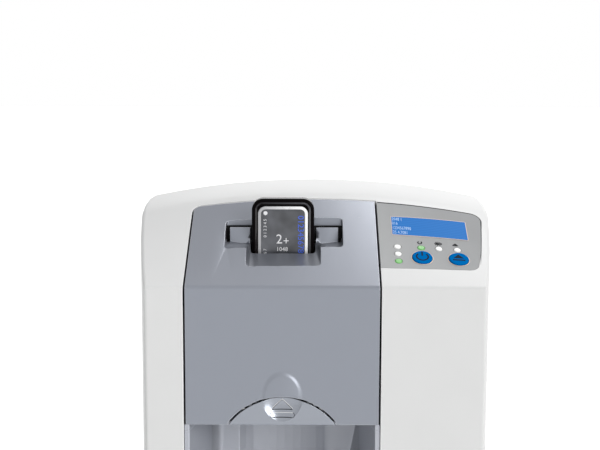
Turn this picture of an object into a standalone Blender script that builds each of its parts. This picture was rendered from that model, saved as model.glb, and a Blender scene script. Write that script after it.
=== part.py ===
"""Tabletop scanner for phosphor imaging plates.

Origin: centre of the footprint, on the surface that the feet stand on.
+X is to the right of someone in front of the scanner, the front faces -Y, +Z is up.
All lengths are in metres.
"""

import math

import bmesh
import bpy
from mathutils import Matrix, Vector

# Clearances and cutter overrun
SEAT_GAP = 0.0003
SLIDE_GAP = 0.0006
OVERRUN = 0.004
CUT_ABOVE = 0.040
JOINT_OVERLAP = 0.0005
NORMAL_STEP = 0.0003
WELD_DISTANCE = 1e-7

# Housing: overall form
HALF_WIDTH = 0.113
HALF_DEPTH = 0.117
CREST_HEIGHT = 0.2697
CREST_SETBACK = 0.1250
BEND_HEIGHT = 0.2214
BEND_DROP = 0.0014
CREASE_SETBACK = 0.0790
CREASE_DROP = 0.0021
CREASE_BLEND = 0.003
CREASE_SHARES = (-1.5, -0.6, 0.3, 1.2)
ARCH_RADIUS = 0.530
REAR_CROWN_RADIUS = 0.368
FLARE = 0.012
FLARE_END_SETBACK = 0.1320
FRONT_EDGE_RADIUS = 0.0018
FRONT_EDGE_SHARES = (0.12, 0.45, 1.0)
REAR_EDGE_RADIUS = 0.007
REAR_EDGE_SHARES = (0.5, 0.85, 1.0)
SIDE_CORNER_RADIUS = 0.003
WALL = 0.003
SHELL_BOTTOM = 0.006

# Front cover, and the opening it closes
COVER_LEFT = -0.0769
COVER_RIGHT = 0.03775
COVER_BOTTOM_DROP = 0.0831
COVER_BACK_SETBACK = 0.0735
COVER_GAP = 0.0012
COVER_CORNER = 0.0045
COVER_SIDE_WALL = 0.0025
COVER_RETURN_DEPTH = 0.012
COVER_REAR_UNDERCUT = 0.0024
OPENING_SILL = 0.033

# Finger recess and slot in the cover
WING_LEFT = -0.0557
WING_RIGHT = 0.0170
WING_FRONT_SETBACK = 0.0325
WING_BACK_SETBACK = 0.0573
WING_FRONT_DEPTH = 0.0025
WING_BACK_DEPTH = 0.0125
NOTCH_LEFT = -0.0420
NOTCH_RIGHT = 0.0032
NOTCH_FRONT_SETBACK = 0.0170
NOTCH_LIP_SETBACK = 0.0375
NOTCH_FRONT_DEPTH = 0.0017
NOTCH_LIP_DEPTH = 0.0079
RECESS_CORNER = 0.0025
RECESS_WALL = 0.0018
SLOT_WIDTH = 0.0711
SLOT_FRONT_SETBACK = 0.0525
SLOT_BACK_SETBACK = 0.0568
SLOT_LEG_DEPTH = 0.0040
TONGUE_END_GAP = 0.0020
TONGUE_TOP_DEPTH = 0.0025
TONGUE_THICKNESS = 0.0016
TONGUE_FOOT_OUTER = 0.0022
TONGUE_FOOT_INNER = 0.0085
HOLE_CORNER = 0.0030

# Plate holder and imaging plate
HOLDER_FRONT_SETBACK = 0.0420
HOLDER_WIDTH = 0.0383
HOLDER_THICKNESS = 0.0090
HOLDER_HEIGHT = 0.0520
HOLDER_RISE = 0.0165
HOLDER_CORNER = 0.0070
HOLDER_FOOT_CORNER = 0.0023
HOLDER_SIDE_SHIFT = 0.0005
HOLDER_EDGE = 0.0016
HOLDER_CLEARANCE = 0.0008
PLATE_WIDTH = 0.0307
PLATE_HEIGHT = 0.0408
PLATE_THICKNESS = 0.0013
PLATE_CORNER = 0.0048
PLATE_TOP_MARGIN = 0.0047
PLATE_POCKET_CLEARANCE = 0.0004

# Release lever and thumb dimple
LEVER_ARC_RADIUS = 0.04054
LEVER_APEX_DROP = 0.0658
LEVER_GAP = 0.0012
LEVER_THICKNESS = 0.0024
DIMPLE_HALF_WIDTH = 0.01245
DIMPLE_HALF_HEIGHT = 0.0156
DIMPLE_DEPTH = 0.0030
DIMPLE_CENTRE_DROP = 0.0655
DIMPLE_WALL = 0.0020
DIMPLE_RIM_SHARE = 0.8
MOUND_HEIGHT = 0.0009
MOUND_FLANK_SHARES = ((0.76, 1.0), (0.83, 0.9), (0.90, 0.6), (0.955, 0.27), (1.06, -0.4))
LEVER_PIN_DROP = 0.0754
LEVER_PIN_SETBACK = 0.0075
LEVER_PIN_RADIUS = 0.0015
LEVER_LUG_SPACING = 0.0170
LUG_THICKNESS = 0.0025
LUG_RADIUS = 0.0036
PIN_CLEARANCE = 0.0003
COVER_LUG_SPACING = 0.0322
LEVER_NOSE_LENGTH = 0.0062
CATCH_DEPTH = 0.0030
LEAF_WIDTH = 0.006
LEAF_THICKNESS = 0.0006
LEAF_LUG_CLEARANCE = 0.0010
LEAF_TOP_DROP = 0.0574

# Cover hinge
HINGE_SETBACK = 0.0875
HINGE_DEPTH = 0.0107
HINGE_PIN_RADIUS = 0.0015
HINGE_PIN_END_GAP = 0.0010
HINGE_HUB_RADIUS = 0.0030
HINGE_ARM_WIDTH = 0.0040
HINGE_ARM_LEFT = -0.0660
HINGE_ARM_RIGHT = 0.0240
HINGE_LUG_WIDTH = 0.0025
HINGE_ARM_GAP = 0.0008
HINGE_LUG_DROP = 0.0045
HINGE_LUG_LENGTH = 0.009
ARM_KNEE_RADIUS = 0.0225
ARM_KNEE_ANGLE_SHARE = 1.33
ARM_ROOT_REACH = 0.027
ARM_HEIGHT = 0.005

# Output bay
BAY_FLAT_SETBACK = 0.0550
BAY_FLAT_LEFT = -0.0655
BAY_FLAT_RIGHT = 0.0283
BAY_FLOOR = 0.0365
BAY_TOP_DROP = 0.0870
BAY_WALL = 0.0022
BAY_FRONT_SETBACK = 0.0010
BAY_CEILING_FRONT_SETBACK = 0.0130
CHANNEL_LEFT = -0.0479
CHANNEL_RIGHT = 0.0097
CHANNEL_RADIUS = 0.0450
EXIT_SLOT_WIDTH = 0.0740
EXIT_SLOT_FRONT_SETBACK = 0.0370

# Output tray
TRAY_FRONT_SETBACK = 0.0020
TRAY_BACK_SETBACK = 0.0520
TRAY_HEIGHT = 0.0270
TRAY_WALL = 0.0020
TRAY_SIDE_GAP = 0.0016
TRAY_GRIP_RADIUS = 0.0140
PAD_THICKNESS = 0.0020

# Control panel
PANEL_LEFT = 0.0391
PANEL_SIDE_MARGIN = 0.0055
PANEL_BACK_SETBACK = 0.0725
PANEL_FRONT_SETBACK = 0.0160
PANEL_CORNER = 0.0060
PANEL_THICKNESS = 0.0008
PANEL_PROUD = 0.0001
WINDOW_LEFT_SHARE = 0.1123
WINDOW_WIDTH_SHARE = 0.6306
WINDOW_FRONT_SETBACK = 0.0448
WINDOW_BACK_SETBACK = 0.0625
WINDOW_THICKNESS = 0.0011
BUTTON_RADIUS = 0.00605
BUTTON_PROUD = 0.0011
BUTTON_FLANGE_RADIUS = 0.0065
BUTTON_FLANGE_DEPTH = 0.0040
BUTTON_FLANGE_THICKNESS = 0.0009
BUTTON_STEM_RADIUS = 0.0026
BUTTON_STEM_DEPTH = 0.0066
BUTTON_DOME = 0.0004
BUTTON_FLAT_SHARE = 0.92
POWER_BUTTON_SHARE = 0.3424
EJECT_BUTTON_SHARE = 0.6401
BUTTON_ROW_SETBACK = 0.0252
LIGHT_RADIUS = 0.0022
LIGHT_PROUD = 0.0005
LENS_FLAT_SHARE = 0.75
LIGHT_ROW_SETBACK = 0.0340
LIGHT_COLUMN_SHARE = 0.1475
LIGHT_COLUMN_PITCH = 0.0061
LIGHT_MIDDLE_SHARE = 0.4885
BOARD_DEPTH = 0.0086
BOARD_THICKNESS = 0.0016
KEY_BOARD_LEFT_SHARE = 0.0663
KEY_BOARD_RIGHT_SHARE = 0.7700
KEY_BOARD_FRONT_SETBACK = 0.0160
KEY_BOARD_BACK_SETBACK = 0.0395
DISPLAY_MODULE_MARGIN = 0.0020
DISPLAY_MODULE_THICKNESS = 0.0036

# Base, feet and rear cover
BASE_THICKNESS = 0.0025
FOOT_RADIUS = 0.0100
FOOT_TAPER = 0.0012
FOOT_SIDE_SETBACK = 0.0290
FOOT_FRONT_SETBACK = 0.0270
FOOT_REAR_SETBACK = 0.0250
BASE_RIB_WIDTH = 0.0025
BASE_RIB_LENGTH = 0.0400
REAR_OPENING_SIDE_SETBACK = 0.0190
REAR_OPENING_BOTTOM = 0.0160
REAR_OPENING_TOP_DROP = 0.0417
REAR_COVER_THICKNESS = 0.0025
REAR_COVER_CORNER = 0.0050
REAR_LEDGE = 0.0060
VENT_COUNT = 9
VENT_WIDTH = 0.0560
VENT_MIDDLE_GAP = 0.0060
VENT_HEIGHT = 0.0030
VENT_PITCH = 0.0075
VENT_BOTTOM_DROP = 0.1000
SCREW_HEAD_RADIUS = 0.0030
SCREW_HEAD_HEIGHT = 0.0014
SCREW_RADIUS = 0.0014
SCREW_LENGTH = 0.0062
SCREW_INSET = 0.0060
INLET_SIDE_SETBACK = 0.0340
NETWORK_SPACING = 0.0270
SOCKET_Z = 0.0380
INLET_SIZE = 0.0120
INLET_DEPTH = 0.0130
INLET_BORE_RADIUS = 0.0035
INLET_PIN_RADIUS = 0.0010
NETWORK_WIDTH = 0.0160
NETWORK_HEIGHT = 0.0140
NETWORK_DEPTH = 0.0180
NETWORK_PORT_WIDTH = 0.0118
NETWORK_PORT_HEIGHT = 0.0078
NETWORK_PORT_DEPTH = 0.0110

# Chassis and scan guide
CHASSIS_LEFT = -0.0800
CHASSIS_RIGHT = 0.0400
CHASSIS_SHEET = 0.0020
CHASSIS_BACK_SETBACK = 0.1190
CHASSIS_FRONT_SETBACK = 0.0590
CHASSIS_HEADROOM = 0.0276
CHEEK_BOTTOM_DROP = 0.0844
CHASSIS_FOOT_DEPTH = 0.0300
GUIDE_WALL = 0.0020
GUIDE_HEADROOM = 0.0273

# Belt drive
BELT_SPACING = 0.0110
BELT_WIDTH = 0.0060
BELT_THICKNESS = 0.0010
BELT_PROUD = 0.0010
ROLLER_RADIUS = 0.0065
ROLLER_WIDTH = 0.0080
SHAFT_RADIUS = 0.0025
UPPER_ROLLER_DROP = 0.0120
LOWER_ROLLER_DROP = 0.0694
GEAR_TEETH = 30
PINION_TEETH = 10
GEAR_MODULE = 0.0010
GEAR_WIDTH = 0.0040
TOOTH_TOP_SHARE = 0.8
TOOTH_FOOT_SHARE = 1.1
TOOTH_TIP_WIDTH_SHARE = 0.11
TOOTH_ROOT_WIDTH_SHARE = 0.30
GEAR_CHEEK_GAP = 0.0010
MOTOR_RADIUS = 0.0130
MOTOR_LENGTH = 0.0340
MOTOR_SHAFT_RADIUS = 0.0015
MOTOR_CHAMFER = 0.0013
MOTOR_HOLE_RADIUS = 0.0045

# Optics in front of the plate path
OPTICS_LEFT = -0.0720
OPTICS_RIGHT = 0.0240
OPTICS_FRONT_SETBACK = 0.0090
OPTICS_BACK_SETBACK = 0.0320
OPTICS_FLOOR_DROP = 0.0694
OPTICS_TOP_CLEARANCE = 0.0085
OPTICS_SHEET = 0.0025
OPTICS_TOP_LEFT = -0.0360
LASER_RADIUS = 0.0080
LASER_LENGTH_SHARE = 0.305
BEAM_RADIUS = 0.0030
SPINNER_RADIUS = 0.0095
SPINNER_DISC = 0.0030
SPINNER_HEIGHT_SHARE = 0.412
PRISM_SIZE = 0.0090
SPINDLE_RADIUS = 0.0015
SPINNER_MOTOR_RADIUS = 0.0115
SPINNER_MOTOR_SHARE = 0.275
TUBE_RADIUS = 0.0125
TUBE_LENGTH = 0.0340
TUBE_LEFT = -0.0720
TUBE_HEIGHT_SHARE = 0.519
COLLECTOR_LENGTH = 0.0060
COLLECTOR_MOUTH_RADIUS = 0.0090
CRADLE_WIDTH = 0.0080
LAMP_LEFT = -0.0480
LAMP_RIGHT = 0.0100
LAMP_DEPTH = 0.0060
LAMP_HEIGHT = 0.0060

# Circuit boards at the back
CONTROL_BOARD_WIDTH = 0.1000
CONTROL_BOARD_HEIGHT = 0.1100
CONTROL_BOARD_BOTTOM = 0.0900
STANDOFF_RADIUS = 0.0030
STANDOFF_LENGTH = 0.0060
STANDOFF_INSET = 0.0080
CHIP_SIZE = 0.0180
CHIP_HEIGHT = 0.0022
PLUG_BLOCK_WIDTH = 0.0240
PLUG_BLOCK_HEIGHT = 0.0080
POWER_BOARD_LEFT = 0.0460
POWER_BOARD_SIDE_SETBACK = 0.0170
POWER_BOARD_FRONT_SETBACK = 0.0670
POWER_BOARD_BACK_SETBACK = 0.1770
POWER_BOARD_HEIGHT = 0.0060
CAPACITOR_RADIUS = 0.0070
CAPACITOR_HEIGHT = 0.0240
CAPACITOR_PITCH = 0.0210
COIL_SIZE = 0.0220
COIL_HEIGHT = 0.0160

# Counts of sides on round pieces
SIDES_SMALL = 12
SIDES_MEDIUM = 20
SIDES_LARGE = 36

# Places worked out from the lengths above: depths from the front, heights from the bend
CREST_Y = -HALF_DEPTH + CREST_SETBACK
CREASE_Y = -HALF_DEPTH + CREASE_SETBACK
FLARE_END_Y = -HALF_DEPTH + FLARE_END_SETBACK
COVER_BACK_Y = -HALF_DEPTH + COVER_BACK_SETBACK
WING_FRONT_Y = -HALF_DEPTH + WING_FRONT_SETBACK
WING_BACK_Y = -HALF_DEPTH + WING_BACK_SETBACK
NOTCH_FRONT_Y = -HALF_DEPTH + NOTCH_FRONT_SETBACK
NOTCH_LIP_Y = -HALF_DEPTH + NOTCH_LIP_SETBACK
SLOT_FRONT_Y = -HALF_DEPTH + SLOT_FRONT_SETBACK
SLOT_BACK_Y = -HALF_DEPTH + SLOT_BACK_SETBACK
HOLDER_FRONT_Y = -HALF_DEPTH + HOLDER_FRONT_SETBACK
HINGE_Y = -HALF_DEPTH + HINGE_SETBACK
BAY_FLAT_Y = -HALF_DEPTH + BAY_FLAT_SETBACK
BAY_CEILING_FRONT_Y = -HALF_DEPTH + BAY_CEILING_FRONT_SETBACK
EXIT_SLOT_FRONT_Y = -HALF_DEPTH + EXIT_SLOT_FRONT_SETBACK
TRAY_FRONT_Y = -HALF_DEPTH + TRAY_FRONT_SETBACK
TRAY_BACK_Y = -HALF_DEPTH + TRAY_BACK_SETBACK
PANEL_BACK_Y = -HALF_DEPTH + PANEL_BACK_SETBACK
PANEL_FRONT_Y = -HALF_DEPTH + PANEL_FRONT_SETBACK
WINDOW_FRONT_Y = -HALF_DEPTH + WINDOW_FRONT_SETBACK
WINDOW_BACK_Y = -HALF_DEPTH + WINDOW_BACK_SETBACK
BUTTON_ROW_Y = -HALF_DEPTH + BUTTON_ROW_SETBACK
LIGHT_ROW_Y = -HALF_DEPTH + LIGHT_ROW_SETBACK
KEY_BOARD_FRONT_Y = -HALF_DEPTH + KEY_BOARD_FRONT_SETBACK
KEY_BOARD_BACK_Y = -HALF_DEPTH + KEY_BOARD_BACK_SETBACK
FOOT_FRONT_Y = -HALF_DEPTH + FOOT_FRONT_SETBACK
CHASSIS_BACK_Y = -HALF_DEPTH + CHASSIS_BACK_SETBACK
CHASSIS_FRONT_Y = -HALF_DEPTH + CHASSIS_FRONT_SETBACK
OPTICS_FRONT_Y = -HALF_DEPTH + OPTICS_FRONT_SETBACK
OPTICS_BACK_Y = -HALF_DEPTH + OPTICS_BACK_SETBACK
POWER_BOARD_FRONT_Y = -HALF_DEPTH + POWER_BOARD_FRONT_SETBACK
POWER_BOARD_BACK_Y = -HALF_DEPTH + POWER_BOARD_BACK_SETBACK
COVER_BOTTOM = BEND_HEIGHT - COVER_BOTTOM_DROP
LEVER_APEX = BEND_HEIGHT - LEVER_APEX_DROP
DIMPLE_CENTRE_Z = BEND_HEIGHT - DIMPLE_CENTRE_DROP
LEVER_PIN_Z = BEND_HEIGHT - LEVER_PIN_DROP
LEAF_TOP = BEND_HEIGHT - LEAF_TOP_DROP
BAY_TOP = BEND_HEIGHT - BAY_TOP_DROP
CHEEK_BOTTOM = BEND_HEIGHT - CHEEK_BOTTOM_DROP
LOWER_ROLLER_Z = BEND_HEIGHT - LOWER_ROLLER_DROP
OPTICS_FLOOR = BEND_HEIGHT - OPTICS_FLOOR_DROP

# The same for the rear and the sides, and for what stands across the panel
FOOT_REAR_Y = HALF_DEPTH - FOOT_REAR_SETBACK
FOOT_X = HALF_WIDTH - FOOT_SIDE_SETBACK
REAR_OPENING_HALF_WIDTH = HALF_WIDTH - REAR_OPENING_SIDE_SETBACK
REAR_OPENING_TOP = CREST_HEIGHT - REAR_OPENING_TOP_DROP
VENT_BOTTOM = REAR_OPENING_TOP - VENT_BOTTOM_DROP
INLET_X = REAR_OPENING_HALF_WIDTH - INLET_SIDE_SETBACK
NETWORK_X = INLET_X - NETWORK_SPACING
POWER_BOARD_RIGHT = HALF_WIDTH - POWER_BOARD_SIDE_SETBACK
PANEL_SPAN = HALF_WIDTH - PANEL_LEFT
WINDOW_LEFT = PANEL_LEFT + WINDOW_LEFT_SHARE * PANEL_SPAN
WINDOW_WIDTH = WINDOW_WIDTH_SHARE * PANEL_SPAN
POWER_BUTTON_X = PANEL_LEFT + POWER_BUTTON_SHARE * PANEL_SPAN
EJECT_BUTTON_X = PANEL_LEFT + EJECT_BUTTON_SHARE * PANEL_SPAN
LIGHT_COLUMN_X = PANEL_LEFT + LIGHT_COLUMN_SHARE * PANEL_SPAN
LIGHT_MIDDLE_X = PANEL_LEFT + LIGHT_MIDDLE_SHARE * PANEL_SPAN
KEY_BOARD_LEFT = PANEL_LEFT + KEY_BOARD_LEFT_SHARE * PANEL_SPAN
KEY_BOARD_RIGHT = PANEL_LEFT + KEY_BOARD_RIGHT_SHARE * PANEL_SPAN

COVER_CENTRE_X = (COVER_LEFT + COVER_RIGHT) / 2
PLATE_X = (NOTCH_LEFT + NOTCH_RIGHT) / 2 - HOLDER_SIDE_SHIFT
CHANNEL_X = (CHANNEL_LEFT + CHANNEL_RIGHT) / 2
CHANNEL_HALF = (CHANNEL_RIGHT - CHANNEL_LEFT) / 2
SCAN_AXIS_Y = BAY_FLAT_Y - math.sqrt(CHANNEL_RADIUS**2 - CHANNEL_HALF**2)
LEVER_ARC_Z = LEVER_APEX - LEVER_ARC_RADIUS
BASE_TOP = SHELL_BOTTOM + BASE_THICKNESS


# Materials

def linear(channel):
    """One sRGB channel, 0 to 1, as the linear value that Blender stores."""
    return channel / 12.92 if channel <= 0.04045 else ((channel + 0.055) / 1.055) ** 2.4


def material(name, hex_colour, roughness, metallic=0.0):
    made = bpy.data.materials.get(name)
    if made:
        return made
    made = bpy.data.materials.new(name)
    made.use_nodes = True
    shader = made.node_tree.nodes["Principled BSDF"]
    red, green, blue = (int(hex_colour[i:i + 2], 16) / 255 for i in (0, 2, 4))
    shader.inputs["Base Color"].default_value = (linear(red), linear(green), linear(blue), 1)
    shader.inputs["Roughness"].default_value = roughness
    shader.inputs["Metallic"].default_value = metallic
    made.diffuse_color = (linear(red), linear(green), linear(blue), 1)
    return made


def white_plastic():
    return material("white_plastic", "F0F0EF", 0.45)


def grey_plastic():
    return material("grey_plastic", "9A9EA6", 0.5)


def black_plastic():
    return material("black_plastic", "1E1C1E", 0.25)


def sheet_steel():
    return material("sheet_steel", "A8ABAE", 0.35, 1.0)


def steel():
    return material("steel", "C8CACC", 0.25, 1.0)


def rubber():
    return material("rubber", "26262A", 0.85)


def white_lens():
    return material("white_lens", "F8FAFA", 0.3)


def circuit_green():
    return material("circuit_board", "2F6B45", 0.5)


# Objects and Booleans

def clear_scene():
    for old in list(bpy.data.objects):
        bpy.data.objects.remove(old)


def add_object(name, shape, look, origin=(0, 0, 0)):
    """Turns a bmesh in world coordinates into an object whose origin is at the given place."""
    bmesh.ops.recalc_face_normals(shape, faces=shape.faces)
    place = Matrix.Translation(Vector(origin))
    bmesh.ops.transform(shape, matrix=place.inverted(), verts=shape.verts)
    mesh = bpy.data.meshes.new(name)
    shape.to_mesh(mesh)
    shape.free()
    obj = bpy.data.objects.new(name, mesh)
    obj.matrix_world = place
    bpy.context.scene.collection.objects.link(obj)
    if look:
        mesh.materials.append(look)
    return obj


def tool(name, shape):
    """A hidden object that a Boolean uses."""
    obj = add_object(name, shape, None)
    obj.hide_render = True
    obj.display_type = "WIRE"
    return obj


def combine(obj, shape, operation):
    modifier = obj.modifiers.new(operation.lower(), "BOOLEAN")
    modifier.operation = operation
    modifier.solver = "EXACT"
    modifier.object = tool(f"{obj.name}_{operation.lower()}_{len(obj.modifiers)}", shape)
    return obj


def cut(obj, *shapes):
    for shape in shapes:
        combine(obj, shape, "DIFFERENCE")
    return obj


def join(obj, *shapes):
    for shape in shapes:
        combine(obj, shape, "UNION")
    return obj


def shade_round(obj):
    obj.data.shade_smooth()
    obj.data.set_sharp_from_angle(angle=math.radians(35))
    return obj


# Solid shapes as bmeshes, in world coordinates

def box(x, y, z):
    """A box from its three (low, high) ranges."""
    shape = bmesh.new()
    bmesh.ops.create_cube(shape, size=1)
    for vert in shape.verts:
        vert.co = Vector(
            span[0] if share < 0 else span[1] for span, share in zip((x, y, z), vert.co)
        )
    return shape


def centred(middle, size):
    return middle - size / 2, middle + size / 2


def extruded(outline, low, high, axis="Z"):
    """A flat outline pushed from low to high along an axis. Its points are in the other two axes."""
    order = {"Z": (0, 1, 2), "Y": (0, 2, 1), "X": (2, 0, 1)}[axis]
    shape = bmesh.new()
    rings = []
    for level in (low, high):
        ring = []
        for a, b in outline:
            values = (a, b, level)
            ring.append(shape.verts.new([values[i] for i in order]))
        rings.append(ring)
    shape.faces.new(rings[0])
    shape.faces.new(rings[1][::-1])
    for i in range(len(outline)):
        j = (i + 1) % len(outline)
        shape.faces.new((rings[0][i], rings[1][i], rings[1][j], rings[0][j]))
    return shape


def arc(centre_a, centre_b, radius, start, end, steps=6):
    """Points on a circle, from one angle in degrees to another."""
    angles = [math.radians(start + (end - start) * k / steps) for k in range(steps + 1)]
    return [(centre_a + radius * math.cos(t), centre_b + radius * math.sin(t)) for t in angles]


def turned(profile, sides, place=Matrix()):
    """(radius, height) points spun about local Z. The profile starts and ends on the axis."""
    shape = bmesh.new()
    rings = []
    for radius, height in profile:
        if radius == 0:
            rings.append([shape.verts.new(place @ Vector((0, 0, height)))])
            continue
        ring = []
        for k in range(sides):
            angle = 2 * math.pi * k / sides
            point = Vector((radius * math.cos(angle), radius * math.sin(angle), height))
            ring.append(shape.verts.new(place @ point))
        rings.append(ring)
    for low, high in zip(rings, rings[1:]):
        for k in range(sides):
            n = (k + 1) % sides
            corners = [low[k % len(low)], low[n % len(low)], high[n % len(high)], high[k % len(high)]]
            unique = list(dict.fromkeys(corners))
            if len(unique) > 2:
                shape.faces.new(unique)
    return shape


def rod(radius, low, high, sides, place=Matrix()):
    return turned([(0, low), (radius, low), (radius, high), (0, high)], sides, place)


def tube(outer, inner, low, high, sides, place=Matrix()):
    """A ring-shaped solid about local Z."""
    shape = bmesh.new()
    rings = []
    for radius, height in ((outer, low), (outer, high), (inner, high), (inner, low)):
        ring = []
        for k in range(sides):
            angle = 2 * math.pi * k / sides
            point = Vector((radius * math.cos(angle), radius * math.sin(angle), height))
            ring.append(shape.verts.new(place @ point))
        rings.append(ring)
    for i in range(len(rings)):
        low_ring, high_ring = rings[i], rings[(i + 1) % len(rings)]
        for k in range(sides):
            n = (k + 1) % sides
            shape.faces.new((low_ring[k], low_ring[n], high_ring[n], high_ring[k]))
    return shape


def along_x(x, y, z):
    """Places local Z along world +X, with local origin at the point."""
    return Matrix.Translation((x, y, z)) @ Matrix.Rotation(math.pi / 2, 4, "Y")


def along_y(x, y, z):
    return Matrix.Translation((x, y, z)) @ Matrix.Rotation(-math.pi / 2, 4, "X")


def along_z(x, y, z):
    return Matrix.Translation((x, y, z))


def ellipsoid(centre, half_sizes, sides):
    shape = bmesh.new()
    bmesh.ops.create_uvsphere(shape, u_segments=sides, v_segments=sides // 2, radius=1)
    for vert in shape.verts:
        vert.co = Vector(c + h * v for c, h, v in zip(centre, half_sizes, vert.co))
    return shape


def rounded_outline(left, right, front, back, radii, steps=4):
    """A rectangle with a radius for each corner: front left, front right, back right, back left."""
    points = []
    corners = ((left, front, 1, 1), (right, front, -1, 1), (right, back, -1, -1), (left, back, 1, -1))
    for (x, y, inward_x, inward_y), radius, quarter in zip(corners, radii, (2, 3, 0, 1)):
        if radius == 0:
            points.append((x, y))
            continue
        centre_x, centre_y = x + inward_x * radius, y + inward_y * radius
        for k in range(steps + 1):
            angle = math.pi / 2 * (quarter + k / steps)
            points.append((centre_x + radius * math.cos(angle), centre_y + radius * math.sin(angle)))
    return points


def split_bent_faces(shape):
    """Divides every face whose corners don't lie in one plane into triangles."""
    bent = []
    for face in shape.faces:
        face.normal_update()
        start = face.verts[0].co
        if any(abs((vert.co - start).dot(face.normal)) > WELD_DISTANCE for vert in face.verts):
            bent.append(face)
    bmesh.ops.triangulate(shape, faces=bent)


def draped(outline, low, high, x_cuts=(), y_cuts=()):
    """A plan outline made solid between two heights, each a number or a function of x and y."""
    shape = bmesh.new()
    shape.faces.new([shape.verts.new((x, y, 0)) for x, y in outline])
    for values, normal in ((x_cuts, Vector((1, 0, 0))), (y_cuts, Vector((0, 1, 0)))):
        for value in values:
            parts = shape.verts[:] + shape.edges[:] + shape.faces[:]
            bmesh.ops.bisect_plane(
                shape, geom=parts, plane_co=normal * value, plane_no=normal, dist=WELD_DISTANCE
            )
    flat = list(shape.faces)
    lifted = bmesh.ops.extrude_face_region(shape, geom=flat, use_keep_orig=True)["geom"]
    tops = {part for part in lifted if isinstance(part, bmesh.types.BMVert)}
    for vert in shape.verts:
        level = high if vert in tops else low
        vert.co.z = level(vert.co.x, vert.co.y) if callable(level) else level
    split_bent_faces(shape)
    return shape


# Outer form of the housing, shared by the shell, the cover and the panel

def arch_drop(x):
    return ARCH_RADIUS - math.sqrt(ARCH_RADIUS**2 - x * x)


def half_width(y):
    run = max(0.0, FLARE_END_Y - y) / (FLARE_END_Y + HALF_DEPTH)
    return HALF_WIDTH - FLARE * run * run


def dome_z(x, y):
    """Height of the top behind the crease."""
    if y < CREST_Y:
        fall = CREASE_DROP * ((CREST_Y - y) / (CREST_Y - CREASE_Y)) ** 2
    else:
        fall = (y - CREST_Y) ** 2 / (2 * REAR_CROWN_RADIUS)
    return CREST_HEIGHT - fall - arch_drop(x)


def slope_z(x, y):
    """Height of the sloped front: straight lines from the level bend to the arched crease."""
    share = (y + HALF_DEPTH) / (CREASE_Y + HALF_DEPTH)
    return BEND_HEIGHT + share * (dome_z(x, CREASE_Y) - BEND_HEIGHT)


def skin_z(x, y):
    """Height of the outer surface over a plan position, with the bend and the crease rounded."""
    slope, dome = slope_z(x, y), dome_z(x, y)
    near = max(0.0, CREASE_BLEND - abs(slope - dome)) / CREASE_BLEND
    if abs(y - CREASE_Y) > 3 * CREASE_BLEND:
        near = 0
    height = (slope if y < CREASE_Y else dome) - near * near * CREASE_BLEND / 4
    into = min(1.0, max(0.0, (y + HALF_DEPTH) / FRONT_EDGE_RADIUS))
    return height - BEND_DROP * (1 - math.sqrt(1 - (1 - into) ** 2))


def below_slope(y, depth):
    """A height on the cover's middle line, the given depth under the sloped front."""
    return slope_z(COVER_CENTRE_X, y) - depth


def skin_normal(x, y):
    step = NORMAL_STEP
    along_width = (skin_z(x + step, y) - skin_z(x - step, y)) / (2 * step)
    along_depth = (skin_z(x, y + step) - skin_z(x, y - step)) / (2 * step)
    return Vector((-along_width, -along_depth, 1)).normalized()


def on_skin(x, y):
    """A frame on the outer surface, with its Z axis square to the surface and pointing out."""
    normal = skin_normal(x, y)
    across = Vector((0, 1, 0)).cross(normal).normalized()
    up = normal.cross(across)
    turn = Matrix((across, up, normal)).transposed().to_4x4()
    return Matrix.Translation((x, y, skin_z(x, y))) @ turn


def spread(low, high, count):
    return [low + (high - low) * k / count for k in range(count + 1)]


BEND_CUTS = [-HALF_DEPTH + FRONT_EDGE_RADIUS * share for share in FRONT_EDGE_SHARES]
CREASE_CUTS = [CREASE_Y + CREASE_BLEND * share for share in CREASE_SHARES]


# Heights that follow the sloped front above them
WING_FRONT_FLOOR = below_slope(WING_FRONT_Y, WING_FRONT_DEPTH)
WING_BACK_FLOOR = below_slope(WING_BACK_Y, WING_BACK_DEPTH)
NOTCH_FRONT_FLOOR = below_slope(NOTCH_FRONT_Y, NOTCH_FRONT_DEPTH)
NOTCH_LIP_FLOOR = below_slope(NOTCH_LIP_Y, NOTCH_LIP_DEPTH)
TONGUE_TOP = below_slope(SLOT_FRONT_Y, TONGUE_TOP_DEPTH)
OPTICS_TOP = (2 * BEND_HEIGHT + NOTCH_LIP_FLOOR) / 3 - OPTICS_TOP_CLEARANCE
OPTICS_HEIGHT = OPTICS_TOP - OPTICS_FLOOR
LASER_LENGTH = LASER_LENGTH_SHARE * OPTICS_HEIGHT
SPINNER_Z = OPTICS_FLOOR + SPINNER_HEIGHT_SHARE * OPTICS_HEIGHT
SPINNER_MOTOR_LENGTH = SPINNER_MOTOR_SHARE * OPTICS_HEIGHT
TUBE_Z = OPTICS_FLOOR + TUBE_HEIGHT_SHARE * OPTICS_HEIGHT
HOLDER_TOP = below_slope(SLOT_FRONT_Y, -HOLDER_RISE)
HINGE_Z = below_slope(CREASE_Y, HINGE_DEPTH)
CHASSIS_TOP = below_slope(CHASSIS_FRONT_Y, CHASSIS_HEADROOM)
GUIDE_TOP = below_slope(BAY_FLAT_Y, GUIDE_HEADROOM)
UPPER_ROLLER_Z = GUIDE_TOP - UPPER_ROLLER_DROP


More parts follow.
